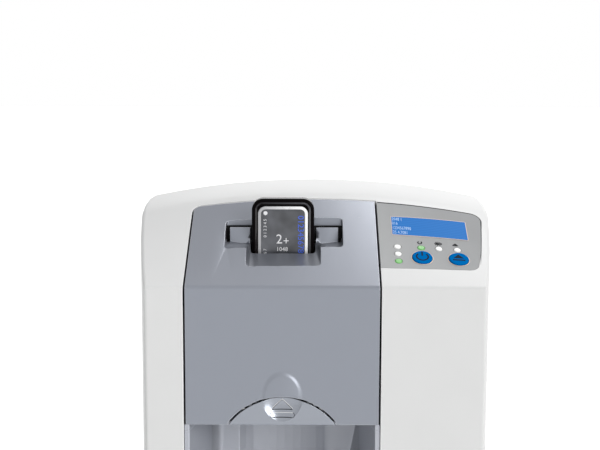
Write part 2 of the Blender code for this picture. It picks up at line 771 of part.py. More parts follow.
def body_stations(inset):
    """(y, side inset, drop) of each section of the body block, front to back."""
    front, back = -HALF_DEPTH + inset, HALF_DEPTH - inset
    stations = []
    for share in (0, *FRONT_EDGE_SHARES):
        edge = 1 - math.sqrt(1 - (1 - share) ** 2)
        stations.append((front + FRONT_EDGE_RADIUS * share, FRONT_EDGE_RADIUS * edge, 0))
    slope_start = front + FRONT_EDGE_RADIUS
    stations += [(y, 0, 0) for y in spread(slope_start, CREASE_CUTS[0], 4)[1:]]
    stations += [(y, 0, 0) for y in CREASE_CUTS[1:]]
    stations += [(y, 0, 0) for y in spread(CREASE_CUTS[-1], back - REAR_EDGE_RADIUS, 6)[1:]]
    for share in REAR_EDGE_SHARES:
        edge = REAR_EDGE_RADIUS * (1 - math.sqrt(1 - share * share))
        stations.append((back - REAR_EDGE_RADIUS * (1 - share), edge, edge))
    return stations


def body_block(inset, bottom, arch_steps=12):
    """The outer form made solid, drawn in by the inset on every side."""
    shape = bmesh.new()
    rings = []
    for y, side, drop in body_stations(inset):
        half = half_width(y) - inset - side
        rise = min(1.0, (y + HALF_DEPTH) / (CREASE_Y + HALF_DEPTH))
        radius = FRONT_EDGE_RADIUS + (SIDE_CORNER_RADIUS - FRONT_EDGE_RADIUS) * max(0.0, rise)
        lower = inset + drop

        def corner(sign):
            points = []
            for k in range(1, 6):
                angle = math.pi / 2 * k / 5
                x = sign * (half - radius + radius * math.sin(angle))
                points.append((x, skin_z(x, y) - lower - radius * (1 - math.cos(angle))))
            return points

        flat = half - radius
        top = [(x, skin_z(x, y) - lower) for x in spread(-flat, flat, arch_steps)]
        outline = [(-half, bottom)] + corner(-1)[::-1] + top + corner(1) + [(half, bottom)]
        rings.append([shape.verts.new((x, y, z)) for x, z in outline])
    for near, far in zip(rings, rings[1:]):
        for k in range(len(near)):
            n = (k + 1) % len(near)
            shape.faces.new((near[k], near[n], far[n], far[k]))
    shape.faces.new(rings[0])
    shape.faces.new(rings[-1][::-1])
    split_bent_faces(shape)
    return shape


def body_outline(inset):
    """The plan outline of the body, drawn in by the inset."""
    right = [(half_width(y) - inset - side, y) for y, side, _ in body_stations(inset)]
    return right + [(-x, y) for x, y in right[::-1]]


# Housing

def opening_outline():
    """Plan outline of the opening that the cover and the bay fill."""
    left, right = COVER_LEFT - COVER_GAP, COVER_RIGHT + COVER_GAP
    front, back = -HALF_DEPTH - OVERRUN, COVER_BACK_Y + COVER_GAP
    radius = COVER_CORNER + COVER_GAP
    return rounded_outline(left, right, front, back, (0, 0, 0, radius))


def panel_outline(clearance=0.0):
    """Plan outline of the panel. Its right edge follows the flared side of the housing."""
    left, front, back = PANEL_LEFT - clearance, PANEL_FRONT_Y - clearance, PANEL_BACK_Y + clearance
    radius = PANEL_CORNER + clearance

    def right_at(y):
        return half_width(y) - PANEL_SIDE_MARGIN + clearance

    points = [(left, back), (left, front)]
    for k in range(5):
        angle = math.pi / 2 * k / 4
        x = right_at(front) - radius + radius * math.sin(angle)
        points.append((x, front + radius * (1 - math.cos(angle))))
    points += [(right_at(y), y) for y in spread(front + radius, back - radius, 4)[1:-1]]
    for k in range(5):
        angle = math.pi / 2 * k / 4
        x = right_at(back) - radius + radius * math.cos(angle)
        points.append((x, back - radius * (1 - math.sin(angle))))
    return points


def panel_cuts():
    """Where the panel and its pocket are divided, so that both follow the arch alike."""
    return spread(PANEL_LEFT, HALF_WIDTH, 7)[1:-1], spread(PANEL_FRONT_Y, PANEL_BACK_Y, 3)[1:-1]


def at_skin(offset):
    return lambda x, y: skin_z(x, y) + offset


def window_outline(clearance):
    left, right = WINDOW_LEFT - clearance, WINDOW_LEFT + WINDOW_WIDTH + clearance
    return rounded_outline(left, right, WINDOW_FRONT_Y - clearance, WINDOW_BACK_Y + clearance, (0, 0, 0, 0))


def light_places():
    """Plan positions of the status lights, by name."""
    column = {
        f"status_light_column_{k + 1}": (LIGHT_COLUMN_X, LIGHT_ROW_Y - k * LIGHT_COLUMN_PITCH)
        for k in range(3)
    }
    row_xs = (POWER_BUTTON_X, LIGHT_MIDDLE_X, EJECT_BUTTON_X)
    row = {f"status_light_row_{k + 1}": (x, LIGHT_ROW_Y) for k, x in enumerate(row_xs)}
    return column | row


def button_places():
    return {"power_button": (POWER_BUTTON_X, BUTTON_ROW_Y), "eject_button": (EJECT_BUTTON_X, BUTTON_ROW_Y)}


def panel_holes(clearance):
    """Cutters through the panel and the wall under it, for the lights and the buttons."""
    reach = WALL + OVERRUN
    lights = [
        rod(LIGHT_RADIUS + clearance, -reach, reach, SIDES_SMALL, on_skin(x, y))
        for x, y in light_places().values()
    ]
    buttons = [
        rod(BUTTON_RADIUS + clearance, -reach, reach, SIDES_MEDIUM, on_skin(x, y))
        for x, y in button_places().values()
    ]
    return lights + buttons


def rear_opening_outline(inset):
    """Outline in x and z of the rear opening, drawn in by the inset."""
    half = REAR_OPENING_HALF_WIDTH - inset
    radius = REAR_COVER_CORNER
    return rounded_outline(
        -half, half, REAR_OPENING_BOTTOM + inset, REAR_OPENING_TOP - inset, (radius,) * 4
    )


def screw_places():
    half = REAR_OPENING_HALF_WIDTH - SCREW_INSET
    heights = (REAR_OPENING_BOTTOM + SCREW_INSET, REAR_OPENING_TOP - SCREW_INSET)
    return [(x, z) for x in (-half, half) for z in heights]


def hinge_arm_spans():
    """(low, high) in x of each hinge arm of the cover."""
    return [(left, left + HINGE_ARM_WIDTH) for left in (HINGE_ARM_LEFT, HINGE_ARM_RIGHT)]


def hinge_lug_spans():
    """The shell's lugs stand outside the arms."""
    (left, _), (_, right) = hinge_arm_spans()
    return [
        (left - HINGE_ARM_GAP - HINGE_LUG_WIDTH, left - HINGE_ARM_GAP),
        (right + HINGE_ARM_GAP, right + HINGE_ARM_GAP + HINGE_LUG_WIDTH),
    ]


def housing_shell():
    shell = add_object("housing_shell", body_block(0, SHELL_BOTTOM), white_plastic())
    cut(shell, body_block(WALL, SHELL_BOTTOM - OVERRUN))
    cut(shell, extruded(opening_outline(), OPENING_SILL, CREST_HEIGHT + OVERRUN))
    pocket_floor = at_skin(PANEL_PROUD - PANEL_THICKNESS - SEAT_GAP)
    cut(shell, draped(panel_outline(SEAT_GAP), pocket_floor, at_skin(CUT_ABOVE), *panel_cuts()))
    window_hole = window_outline(-DISPLAY_MODULE_MARGIN / 2)
    cut(shell, draped(window_hole, at_skin(-WALL - OVERRUN), at_skin(OVERRUN)))
    cut(shell, *panel_holes(SEAT_GAP))
    for x_span in hinge_lug_spans():
        y_span = (HINGE_Y - HINGE_LUG_LENGTH / 2, HINGE_Y + HINGE_LUG_LENGTH / 2)
        lug = draped(
            rounded_outline(*x_span, *y_span, (0, 0, 0, 0)), HINGE_Z - HINGE_LUG_DROP, at_skin(-WALL / 2)
        )
        join(shell, lug)
    lip = HALF_DEPTH - REAR_COVER_THICKNESS - SEAT_GAP
    frame_outer = rounded_outline(
        -REAR_OPENING_HALF_WIDTH - REAR_LEDGE, REAR_OPENING_HALF_WIDTH + REAR_LEDGE,
        REAR_OPENING_BOTTOM - REAR_LEDGE, REAR_OPENING_TOP + REAR_LEDGE, (REAR_COVER_CORNER,) * 4,
    )
    join(shell, extruded(frame_outer, lip - WALL, HALF_DEPTH - WALL / 2, "Y"))
    cut(shell, extruded(rear_opening_outline(0), lip, HALF_DEPTH + OVERRUN, "Y"))
    inner = rear_opening_outline(2 * SCREW_INSET)
    cut(shell, extruded(inner, lip - WALL - OVERRUN, HALF_DEPTH + OVERRUN, "Y"))
    for x, z in screw_places():
        place = along_y(x, lip, z)
        cut(shell, rod(SCREW_RADIUS + SEAT_GAP, -WALL - OVERRUN, OVERRUN, SIDES_SMALL, place))
    for low, high in hinge_lug_spans():
        place = along_x(0, HINGE_Y, HINGE_Z)
        reach = (low - HINGE_PIN_END_GAP, high + HINGE_PIN_END_GAP)
        cut(shell, rod(HINGE_PIN_RADIUS + SEAT_GAP, *reach, SIDES_SMALL, place))


def hinge_pins():
    for side, (arm, lug) in zip(("left", "right"), zip(hinge_arm_spans(), hinge_lug_spans())):
        low, high = min(arm[0], lug[0]), max(arm[1], lug[1])
        pin = rod(HINGE_PIN_RADIUS, low, high, SIDES_SMALL, along_x(0, HINGE_Y, HINGE_Z))
        shade_round(add_object(f"cover_hinge_pin_{side}", pin, steel()))


# Front cover

def cover_outline():
    corners = (0, 0, 0, COVER_CORNER)
    return rounded_outline(COVER_LEFT, COVER_RIGHT, -HALF_DEPTH, COVER_BACK_Y, corners)


def plane_between(y_low, z_low, y_high, z_high):
    """A floor that rises evenly with y."""
    return lambda x, y: z_low + (y - y_low) / (y_high - y_low) * (z_high - z_low)


WING_FLOOR = plane_between(WING_FRONT_Y, WING_FRONT_FLOOR, WING_BACK_Y, WING_BACK_FLOOR)
NOTCH_FLOOR = plane_between(NOTCH_FRONT_Y, NOTCH_FRONT_FLOOR, NOTCH_LIP_Y, NOTCH_LIP_FLOOR)


def lowered(floor, amount):
    return lambda x, y: floor(x, y) - amount


def wing_outline(grow):
    return rounded_outline(
        WING_LEFT - grow, WING_RIGHT + grow, WING_FRONT_Y - grow, WING_BACK_Y + grow,
        (RECESS_CORNER,) * 4, 3,
    )


def notch_outline(grow, back):
    left, right = NOTCH_LEFT - grow, NOTCH_RIGHT + grow
    return rounded_outline(left, right, NOTCH_FRONT_Y - grow, back, (RECESS_CORNER, RECESS_CORNER, 0, 0), 3)


def slot_centre_x():
    return (WING_LEFT + WING_RIGHT) / 2


def tongue(outer_x, inner_x):
    """The slot's front lip on one side. Its foot reaches further forward next to the holder."""
    shape = bmesh.new()
    back = SLOT_FRONT_Y
    feet = spread(TONGUE_FOOT_OUTER, TONGUE_FOOT_INNER, 5)
    rings = []
    for x, foot in zip(spread(outer_x, inner_x, 5), feet):
        base = WING_FLOOR(x, back) - RECESS_WALL / 2
        face = zip(spread(back - foot, back - TONGUE_THICKNESS, 3), spread(base, TONGUE_TOP, 3))
        section = ((back, base), *face, (back, TONGUE_TOP))
        rings.append([shape.verts.new((x, y, z)) for y, z in section])
    shape.faces.new(rings[0])
    shape.faces.new(rings[-1][::-1])
    for near, far in zip(rings, rings[1:]):
        for k in range(len(near)):
            n = (k + 1) % len(near)
            shape.faces.new((near[k], near[n], far[n], far[k]))
    split_bent_faces(shape)
    return shape


def hinge_arm(x_span):
    """A gooseneck from the cover's underside, down and back to the round hub on the hinge axis."""
    half = ARM_HEIGHT / 2
    knee = math.pi * ARM_KNEE_ANGLE_SHARE
    root_y = HINGE_Y - ARM_ROOT_REACH
    root_z = skin_z(x_span[0], root_y) - WALL / 2
    knee_y = HINGE_Y + ARM_KNEE_RADIUS * math.cos(knee)
    knee_z = HINGE_Z + ARM_KNEE_RADIUS * math.sin(knee)
    outline = [(root_y - half, root_z), (root_y - half, knee_z - half), (knee_y + half, knee_z - half)]
    outline += arc(HINGE_Y, HINGE_Z, HINGE_HUB_RADIUS, -30, 150, 9)
    outline += [(knee_y, knee_z + half), (root_y + half, knee_z + half), (root_y + half, root_z)]
    return extruded(outline, *x_span, "X")


def dimple(grow, depth):
    """An ellipsoid whose centre is in front of the face, so that its rim meets the face at a slant."""
    reach = depth / (1 - math.sqrt(1 - DIMPLE_RIM_SHARE**2))
    across, tall = DIMPLE_HALF_WIDTH + grow, DIMPLE_HALF_HEIGHT + grow
    half = (across / DIMPLE_RIM_SHARE, reach, tall / DIMPLE_RIM_SHARE)
    return ellipsoid((COVER_CENTRE_X, -HALF_DEPTH - reach + depth, DIMPLE_CENTRE_Z), half, SIDES_LARGE)


def mound():
    """The low oval rise above the lever, level on top with soft flanks."""
    place = along_y(COVER_CENTRE_X, -HALF_DEPTH, DIMPLE_CENTRE_Z)
    oval = Matrix.Diagonal((DIMPLE_HALF_WIDTH, DIMPLE_HALF_HEIGHT, 1, 1))
    profile = [(0, -MOUND_HEIGHT)]
    profile += [(radius, -MOUND_HEIGHT * height) for radius, height in MOUND_FLANK_SHARES]
    profile += [(MOUND_FLANK_SHARES[-1][0], WALL / 2), (0, WALL / 2)]
    return turned(profile, SIDES_LARGE, place @ oval)


def front_half_space():
    """All that lies in front of the cover's face."""
    return box(
        (COVER_LEFT - OVERRUN, COVER_RIGHT + OVERRUN),
        (-HALF_DEPTH - CUT_ABOVE, -HALF_DEPTH),
        (COVER_BOTTOM - CUT_ABOVE, BEND_HEIGHT),
    )


def arc_disc(radius, depth):
    """A disc of the lever's arc, from in front of the face to the given depth behind it."""
    place = along_y(COVER_CENTRE_X, -HALF_DEPTH, LEVER_ARC_Z)
    return rod(radius, -OVERRUN, depth, 2 * SIDES_LARGE, place)


def lever_pin_y():
    return -HALF_DEPTH + LEVER_PIN_SETBACK


def lever_lug_lows():
    return [COVER_CENTRE_X + sign * LEVER_LUG_SPACING - LUG_THICKNESS / 2 for sign in (-1, 1)]


def pin_lug(low, face_y, nose_length=0.0):
    """A web from the face back to the round eye about the lever's pin, with a latch nose if asked."""
    pin_y, radius = lever_pin_y(), LUG_RADIUS
    outline = [(face_y, LEVER_PIN_Z - radius)]
    start = -90
    if nose_length:
        outline += [(pin_y + nose_length, z) for z in (LEVER_PIN_Z - radius, LEVER_PIN_Z - radius / 2)]
        start = -30
    outline += arc(pin_y, LEVER_PIN_Z, radius, start, 90)
    outline.append((face_y, LEVER_PIN_Z + radius))
    return extruded(outline, low, low + LUG_THICKNESS, "X")


def pin_bore(low, clearance):
    reach = (low - OVERRUN / 2, low + LUG_THICKNESS + OVERRUN / 2)
    return rod(LEVER_PIN_RADIUS + clearance, *reach, SIDES_SMALL, along_x(0, lever_pin_y(), LEVER_PIN_Z))


def add_recess(cover, across):
    """The T-shaped finger recess: a tub under the slope, hollowed down to its two floors."""
    rim = at_skin(-WALL / 2)
    notch_tub = notch_outline(RECESS_WALL, WING_BACK_Y)
    join(cover, draped(wing_outline(RECESS_WALL), lowered(WING_FLOOR, RECESS_WALL), rim, across))
    join(cover, draped(notch_tub, lowered(NOTCH_FLOOR, RECESS_WALL), rim, across))
    cut(cover, draped(wing_outline(0), WING_FLOOR, at_skin(CUT_ABOVE)))
    notch = notch_outline(0, SLOT_FRONT_Y - TONGUE_FOOT_INNER)
    cut(cover, draped(notch, NOTCH_FLOOR, at_skin(CUT_ABOVE)))


def add_slot(cover):
    """The plate slot with its front lip, and the wider hole that the holder stands in."""
    centre, half = slot_centre_x(), SLOT_WIDTH / 2
    hole = HOLDER_WIDTH / 2 + HOLDER_CLEARANCE
    tongue_end = half - TONGUE_END_GAP
    through = (COVER_BOTTOM, CREST_HEIGHT)
    join(cover, tongue(centre - tongue_end, PLATE_X - hole - JOINT_OVERLAP))
    join(cover, tongue(centre + tongue_end, PLATE_X + hole + JOINT_OVERLAP))
    cut(cover, box((centre - half, centre + half), (SLOT_FRONT_Y, SLOT_BACK_Y), through))
    for span in ((centre - half, centre - tongue_end), (centre + tongue_end, centre + half)):
        cut(cover, box(span, (SLOT_FRONT_Y - SLOT_LEG_DEPTH, SLOT_BACK_Y), through))
    corners = (HOLE_CORNER, HOLE_CORNER, 0, 0)
    outline = rounded_outline(PLATE_X - hole, PLATE_X + hole, NOTCH_LIP_Y, SLOT_BACK_Y, corners, 3)
    cut(cover, extruded(outline, *through))


def add_hinge_arms(cover):
    place = along_x(0, HINGE_Y, HINGE_Z)
    for low, high in hinge_arm_spans():
        join(cover, hinge_arm((low, high)))
        cut(cover, rod(HINGE_PIN_RADIUS + PIN_CLEARANCE, low - OVERRUN, high + OVERRUN, SIDES_SMALL, place))


def add_lever_seat(cover):
    """The oval mound, the arc that the lever fills, and the lugs of the lever's pin."""
    join(cover, mound())
    cut(cover, arc_disc(LEVER_ARC_RADIUS, COVER_RETURN_DEPTH + OVERRUN))
    for sign in (-1, 1):
        low = COVER_CENTRE_X + sign * COVER_LUG_SPACING - LUG_THICKNESS / 2
        join(cover, pin_lug(low, -HALF_DEPTH + WALL / 2))
        cut(cover, pin_bore(low, SEAT_GAP))


def front_cover():
    across = spread(COVER_LEFT, COVER_RIGHT, 8)[1:-1]
    outer = draped(cover_outline(), COVER_BOTTOM, skin_z, across, BEND_CUTS)
    cover = add_object("front_cover", outer, grey_plastic(), (COVER_CENTRE_X, HINGE_Y, HINGE_Z))
    left, right = COVER_LEFT + COVER_SIDE_WALL, COVER_RIGHT - COVER_SIDE_WALL
    below = COVER_BOTTOM - OVERRUN
    hollow = rounded_outline(left, right, -HALF_DEPTH + WALL, CREASE_Y, (0, 0, 0, 0))
    cut(cover, draped(hollow, below, at_skin(-WALL), across))
    left, right = COVER_LEFT - OVERRUN, COVER_RIGHT + OVERRUN
    behind = rounded_outline(left, right, -HALF_DEPTH + COVER_RETURN_DEPTH, CREASE_Y, (0, 0, 0, 0))
    cut(cover, draped(behind, below, at_skin(-COVER_RETURN_DEPTH), across))
    add_recess(cover, across)
    add_slot(cover)
    cut(cover, cover_rear_undercut())
    add_hinge_arms(cover)
    add_lever_seat(cover)


def cover_rear_undercut():
    """Shaves the underside of the cover's rear edge, so that it clears the housing as it swings up."""
    shape = bmesh.new()
    rings = []
    for x in spread(COVER_LEFT - OVERRUN, COVER_RIGHT + OVERRUN, 8):
        edge = skin_z(x, COVER_BACK_Y)
        under = COVER_BACK_Y - COVER_REAR_UNDERCUT
        bottom = edge - COVER_RETURN_DEPTH - OVERRUN
        section = (
            (COVER_BACK_Y, edge), (COVER_BACK_Y + CUT_ABOVE, edge),
            (COVER_BACK_Y + CUT_ABOVE, bottom), (under, bottom), (under, edge - 2 * WALL),
        )
        rings.append([shape.verts.new((x, y, z)) for y, z in section])
    shape.faces.new(rings[0])
    shape.faces.new(rings[-1][::-1])
    for near, far in zip(rings, rings[1:]):
        for k in range(len(near)):
            n = (k + 1) % len(near)
            shape.faces.new((near[k], near[n], far[n], far[k]))
    return shape


def release_lever():
    """The arc-shaped plate with the thumb dimple, two pin lugs and the latch noses."""
    radius = LEVER_ARC_RADIUS - LEVER_GAP
    face = -HALF_DEPTH
    place = along_y(COVER_CENTRE_X, face, LEVER_ARC_Z)
    plate = rod(radius, 0, LEVER_THICKNESS, 2 * SIDES_LARGE, place)
    look = material("silver_plastic", "B4B7BE", 0.35)
    lever = add_object("release_lever", plate, look, (COVER_CENTRE_X, lever_pin_y(), LEVER_PIN_Z))
    join(lever, dimple(DIMPLE_WALL, DIMPLE_DEPTH + DIMPLE_WALL))
    cut(lever, dimple(0, DIMPLE_DEPTH))
    cut(lever, front_half_space())
    outside = (LEVER_ARC_RADIUS + CUT_ABOVE, radius, -OVERRUN, COVER_RETURN_DEPTH + OVERRUN)
    cut(lever, tube(*outside, 2 * SIDES_LARGE, place))
    reach = (COVER_LEFT - OVERRUN, COVER_RIGHT + OVERRUN)
    below = (LEVER_ARC_Z - LEVER_ARC_RADIUS - OVERRUN, COVER_BOTTOM)
    cut(lever, box(reach, (face - OVERRUN, face + COVER_RETURN_DEPTH), below))
    for low in lever_lug_lows():
        join(lever, pin_lug(low, face + LEVER_THICKNESS / 2, LEVER_NOSE_LENGTH))
        cut(lever, pin_bore(low, PIN_CLEARANCE))


def lever_pin():
    half = COVER_LUG_SPACING + LUG_THICKNESS / 2
    place = along_x(COVER_CENTRE_X, lever_pin_y(), LEVER_PIN_Z)
    pin = rod(LEVER_PIN_RADIUS, -half, half, SIDES_SMALL, place)
    shade_round(add_object("lever_pin", pin, steel()))


def lever_spring():
    """A flat leaf held behind the cover's wall, with its free end behind the lever's apex."""
    wall_back = -HALF_DEPTH + WALL + SEAT_GAP
    low = COVER_CENTRE_X + DIMPLE_HALF_WIDTH + DIMPLE_WALL + SLIDE_GAP
    depth = (wall_back, wall_back + LEAF_THICKNESS)
    height = (LEVER_PIN_Z + LUG_RADIUS + LEAF_LUG_CLEARANCE, LEAF_TOP)
    add_object("lever_spring", box((low, low + LEAF_WIDTH), depth, height), steel())


# Plate holder and imaging plate

def plate_holder():
    half = HOLDER_WIDTH / 2
    back = HOLDER_FRONT_Y + HOLDER_THICKNESS
    bottom = HOLDER_TOP - HOLDER_HEIGHT
    corners = (HOLDER_FOOT_CORNER, HOLDER_FOOT_CORNER, HOLDER_CORNER, HOLDER_CORNER)
    outline = rounded_outline(PLATE_X - half, PLATE_X + half, bottom, HOLDER_TOP, corners, 6)
    shape = extruded(outline, HOLDER_FRONT_Y, back, "Y")
    holder = add_object("plate_holder", shape, black_plastic(), (PLATE_X, HOLDER_FRONT_Y, bottom))
    bevel = holder.modifiers.new("edge", "BEVEL")
    bevel.width = HOLDER_EDGE
    bevel.segments = 2
    bevel.limit_method = "ANGLE"
    bevel.angle_limit = math.radians(60)
    pocket_half = PLATE_WIDTH / 2 + PLATE_POCKET_CLEARANCE
    pocket_top = HOLDER_TOP - PLATE_TOP_MARGIN + PLATE_POCKET_CLEARANCE
    corner = PLATE_CORNER + PLATE_POCKET_CLEARANCE
    left, right = PLATE_X - pocket_half, PLATE_X + pocket_half
    pocket = rounded_outline(left, right, bottom - OVERRUN, pocket_top, (0, 0, corner, corner))
    floor = HOLDER_FRONT_Y + PLATE_THICKNESS + SLIDE_GAP
    cut(holder, extruded(pocket, HOLDER_FRONT_Y - OVERRUN, floor, "Y"))


def imaging_plate():
    half = PLATE_WIDTH / 2
    top = HOLDER_TOP - PLATE_TOP_MARGIN
    bottom = top - PLATE_HEIGHT
    front = HOLDER_FRONT_Y + SEAT_GAP
    outline = rounded_outline(PLATE_X - half, PLATE_X + half, bottom, top, (PLATE_CORNER,) * 4, 5)
    shape = extruded(outline, front, front + PLATE_THICKNESS, "Y")
    add_object("imaging_plate", shape, material("plate_film", "4A4A4E", 0.3), (PLATE_X, front, bottom))


# Output bay and tray

def channel_points(top_radius, steps=12):
    """The round channel's outline in plan, left to right, on a circle about the scan axis."""
    half_angle = math.asin(CHANNEL_HALF / CHANNEL_RADIUS)
    points = []
    for k in range(steps + 1):
        angle = -half_angle + 2 * half_angle * k / steps
        points.append((CHANNEL_X + top_radius * math.sin(angle), SCAN_AXIS_Y + top_radius * math.cos(angle)))
    return points


def bay_front_y():
    return -HALF_DEPTH + BAY_FRONT_SETBACK


def bay_inner_points():
    side = BAY_WALL + SEAT_GAP
    left, right = COVER_LEFT - COVER_GAP + side, COVER_RIGHT + COVER_GAP - side
    return (
        [(left, bay_front_y()), (BAY_FLAT_LEFT, BAY_FLAT_Y)]
        + channel_points(CHANNEL_RADIUS)
        + [(BAY_FLAT_RIGHT, BAY_FLAT_Y), (right, bay_front_y())]
    )


def bay_outer_points():
    wall = BAY_WALL
    left, right = COVER_LEFT - COVER_GAP + SEAT_GAP, COVER_RIGHT + COVER_GAP - SEAT_GAP
    back = BAY_FLAT_Y + wall
    return (
        [(left, bay_front_y()), (BAY_FLAT_LEFT - wall, back)]
        + channel_points(CHANNEL_RADIUS + wall)
        + [(BAY_FLAT_RIGHT + wall, back), (right, bay_front_y())]
    )


def bay_liner():
    inner, outer = bay_inner_points(), bay_outer_points()
    bottom = BAY_FLOOR - BAY_WALL
    liner = add_object("bay_liner", extruded(outer, bottom, BAY_TOP + BAY_WALL), grey_plastic())
    mouth = [(x, y - OVERRUN) if y == bay_front_y() else (x, y) for x, y in inner]
    cut(liner, extruded(mouth, BAY_FLOOR, BAY_TOP))
    reach = (COVER_LEFT - OVERRUN, COVER_RIGHT + OVERRUN)
    ceiling = (BAY_TOP - SEAT_GAP, BAY_TOP + BAY_WALL + OVERRUN)
    cut(liner, box(reach, (-HALF_DEPTH - OVERRUN, BAY_CEILING_FRONT_Y), ceiling))
    slot_half = EXIT_SLOT_WIDTH / 2
    slot = (CHANNEL_X - slot_half, CHANNEL_X + slot_half)
    cut(liner, box(slot, (EXIT_SLOT_FRONT_Y, BAY_FLAT_Y), (BAY_TOP - OVERRUN, ceiling[1])))
    catch_front = lever_pin_y() + LEVER_NOSE_LENGTH + SLIDE_GAP
    catch_depth = (catch_front, catch_front + CATCH_DEPTH)
    for low in lever_lug_lows():
        join(liner, box((low, low + LUG_THICKNESS), catch_depth, (BAY_TOP + BAY_WALL / 2, LEVER_PIN_Z)))


def bay_side_x(sign, y):
    """The inner face of the bay's angled side wall at a depth."""
    inner = bay_inner_points()
    (x0, y0), (x1, y1) = (inner[0], inner[1]) if sign < 0 else (inner[-1], inner[-2])
    return x0 + (y - y0) / (y1 - y0) * (x1 - x0)


def tray_outline(inset):
    front, back = TRAY_FRONT_Y + inset, TRAY_BACK_Y - inset
    gap = TRAY_SIDE_GAP + inset
    return [
        (bay_side_x(-1, front) + gap, front), (bay_side_x(1, front) - gap, front),
        (bay_side_x(1, back) - gap, back), (bay_side_x(-1, back) + gap, back),
    ]


def output_tray():
    bottom = BAY_FLOOR + SEAT_GAP
    top = bottom + TRAY_HEIGHT
    block = extruded(tray_outline(0), bottom, top)
    tray = add_object("output_tray", block, grey_plastic(), (COVER_CENTRE_X, TRAY_FRONT_Y, bottom))
    cut(tray, extruded(tray_outline(TRAY_WALL), bottom + TRAY_WALL, top + OVERRUN))
    grip = along_y(COVER_CENTRE_X, TRAY_FRONT_Y, top)
    cut(tray, rod(TRAY_GRIP_RADIUS, -OVERRUN, TRAY_WALL + OVERRUN, SIDES_LARGE, grip))
    pad_bottom = bottom + TRAY_WALL + SEAT_GAP
    pad = extruded(tray_outline(TRAY_WALL + SLIDE_GAP), pad_bottom, pad_bottom + PAD_THICKNESS)
    add_object("tray_pad", pad, rubber())


# Control panel pieces

def control_panel():
    below, above = PANEL_PROUD - PANEL_THICKNESS, PANEL_PROUD
    shape = draped(panel_outline(), at_skin(below), at_skin(above), *panel_cuts())
    panel = add_object("control_panel", shape, material("silver_film", "B2B3B5", 0.35, 0.6))
    cut(panel, draped(window_outline(SEAT_GAP), at_skin(-OVERRUN), at_skin(OVERRUN)))
    cut(panel, *panel_holes(SEAT_GAP))


def board_frame():
    """A frame on the back of the slope's wall, under the middle of the panel."""
    return on_skin(LIGHT_MIDDLE_X, BUTTON_ROW_Y)


def depth_to_board(x, y):
    """Distance from the skin, square to it, down to the key board's upper face."""
    frame, board = on_skin(x, y), board_frame()
    board_normal = board.to_3x3() @ Vector((0, 0, 1))
    start = frame.translation
    face = board.translation - board_normal * BOARD_DEPTH
    inward = -(frame.to_3x3() @ Vector((0, 0, 1)))
    return (face - start).dot(board_normal) / inward.dot(board_normal)


def status_lights():
    green = {"status_light_column_3", "status_light_row_1"}
    edge = LIGHT_RADIUS * LENS_FLAT_SHARE
    for name, (x, y) in light_places().items():
        look = material("green_lens", "85C378", 0.3) if name in green else white_lens()
        depth = depth_to_board(x, y) - SEAT_GAP
        profile = [
            (0, -depth), (LIGHT_RADIUS, -depth), (LIGHT_RADIUS, PANEL_PROUD),
            (edge, LIGHT_PROUD), (0, LIGHT_PROUD),
        ]
        shade_round(add_object(name, turned(profile, SIDES_SMALL, on_skin(x, y)), look))


def push_buttons():
    edge = BUTTON_RADIUS * BUTTON_FLAT_SHARE
    flange_top = -BUTTON_FLANGE_DEPTH
    flange_bottom = flange_top - BUTTON_FLANGE_THICKNESS
    profile = [
        (0, -BUTTON_STEM_DEPTH), (BUTTON_STEM_RADIUS, -BUTTON_STEM_DEPTH),
        (BUTTON_STEM_RADIUS, flange_bottom), (BUTTON_FLANGE_RADIUS, flange_bottom),
        (BUTTON_FLANGE_RADIUS, flange_top), (BUTTON_RADIUS, flange_top),
        (BUTTON_RADIUS, BUTTON_PROUD - BUTTON_DOME), (edge, BUTTON_PROUD), (0, BUTTON_PROUD),
    ]
    look = material("blue_plastic", "0A63BC", 0.35)
    for name, (x, y) in button_places().items():
        frame = on_skin(x, y)
        shade_round(add_object(name, turned(profile, SIDES_MEDIUM, frame), look, frame.translation))


def display_pieces():
    """The window in the panel, and the display module behind the wall."""
    across = spread(WINDOW_LEFT, WINDOW_LEFT + WINDOW_WIDTH, 3)[1:-1]
    window_top = PANEL_PROUD + SEAT_GAP
    window = draped(window_outline(0), at_skin(window_top - WINDOW_THICKNESS), at_skin(window_top), across)
    add_object("display_window", window, material("display_blue", "4B87C5", 0.2))
    module_top = -WALL - 2 * SEAT_GAP
    bottom, top = at_skin(module_top - DISPLAY_MODULE_THICKNESS), at_skin(module_top)
    module = draped(window_outline(DISPLAY_MODULE_MARGIN), bottom, top, across)
    add_object("display_module", module, material("display_black", "202226", 0.5))


def key_board():
    """The circuit board under the lights and the buttons, square to the slope there."""
    frame = board_frame()
    middle_x, middle_y = LIGHT_MIDDLE_X, BUTTON_ROW_Y
    lean = frame.to_3x3() @ Vector((0, 1, 0))
    front = (KEY_BOARD_FRONT_Y - middle_y) / lean.y
    back = (KEY_BOARD_BACK_Y - middle_y) / lean.y
    top = -BOARD_DEPTH
    across = (KEY_BOARD_LEFT - middle_x, KEY_BOARD_RIGHT - middle_x)
    shape = box(across, (front, back), (top - BOARD_THICKNESS, top))
    bmesh.ops.transform(shape, matrix=frame, verts=shape.verts)
    add_object("key_board", shape, circuit_green())


# Base, feet, rear cover and sockets

def base_plate():
    inset = WALL + SEAT_GAP
    base = add_object("base_plate", extruded(body_outline(inset), SHELL_BOTTOM, BASE_TOP), sheet_steel())
    rib_top = BAY_FLOOR - BAY_WALL - SEAT_GAP
    y = bay_front_y() + WALL
    rib_height = (BASE_TOP - BASE_THICKNESS / 2, rib_top)
    for x in (BAY_FLAT_LEFT, BAY_FLAT_RIGHT):
        across = (x - BASE_RIB_WIDTH / 2, x + BASE_RIB_WIDTH / 2)
        join(base, box(across, (y, y + BASE_RIB_LENGTH), rib_height))


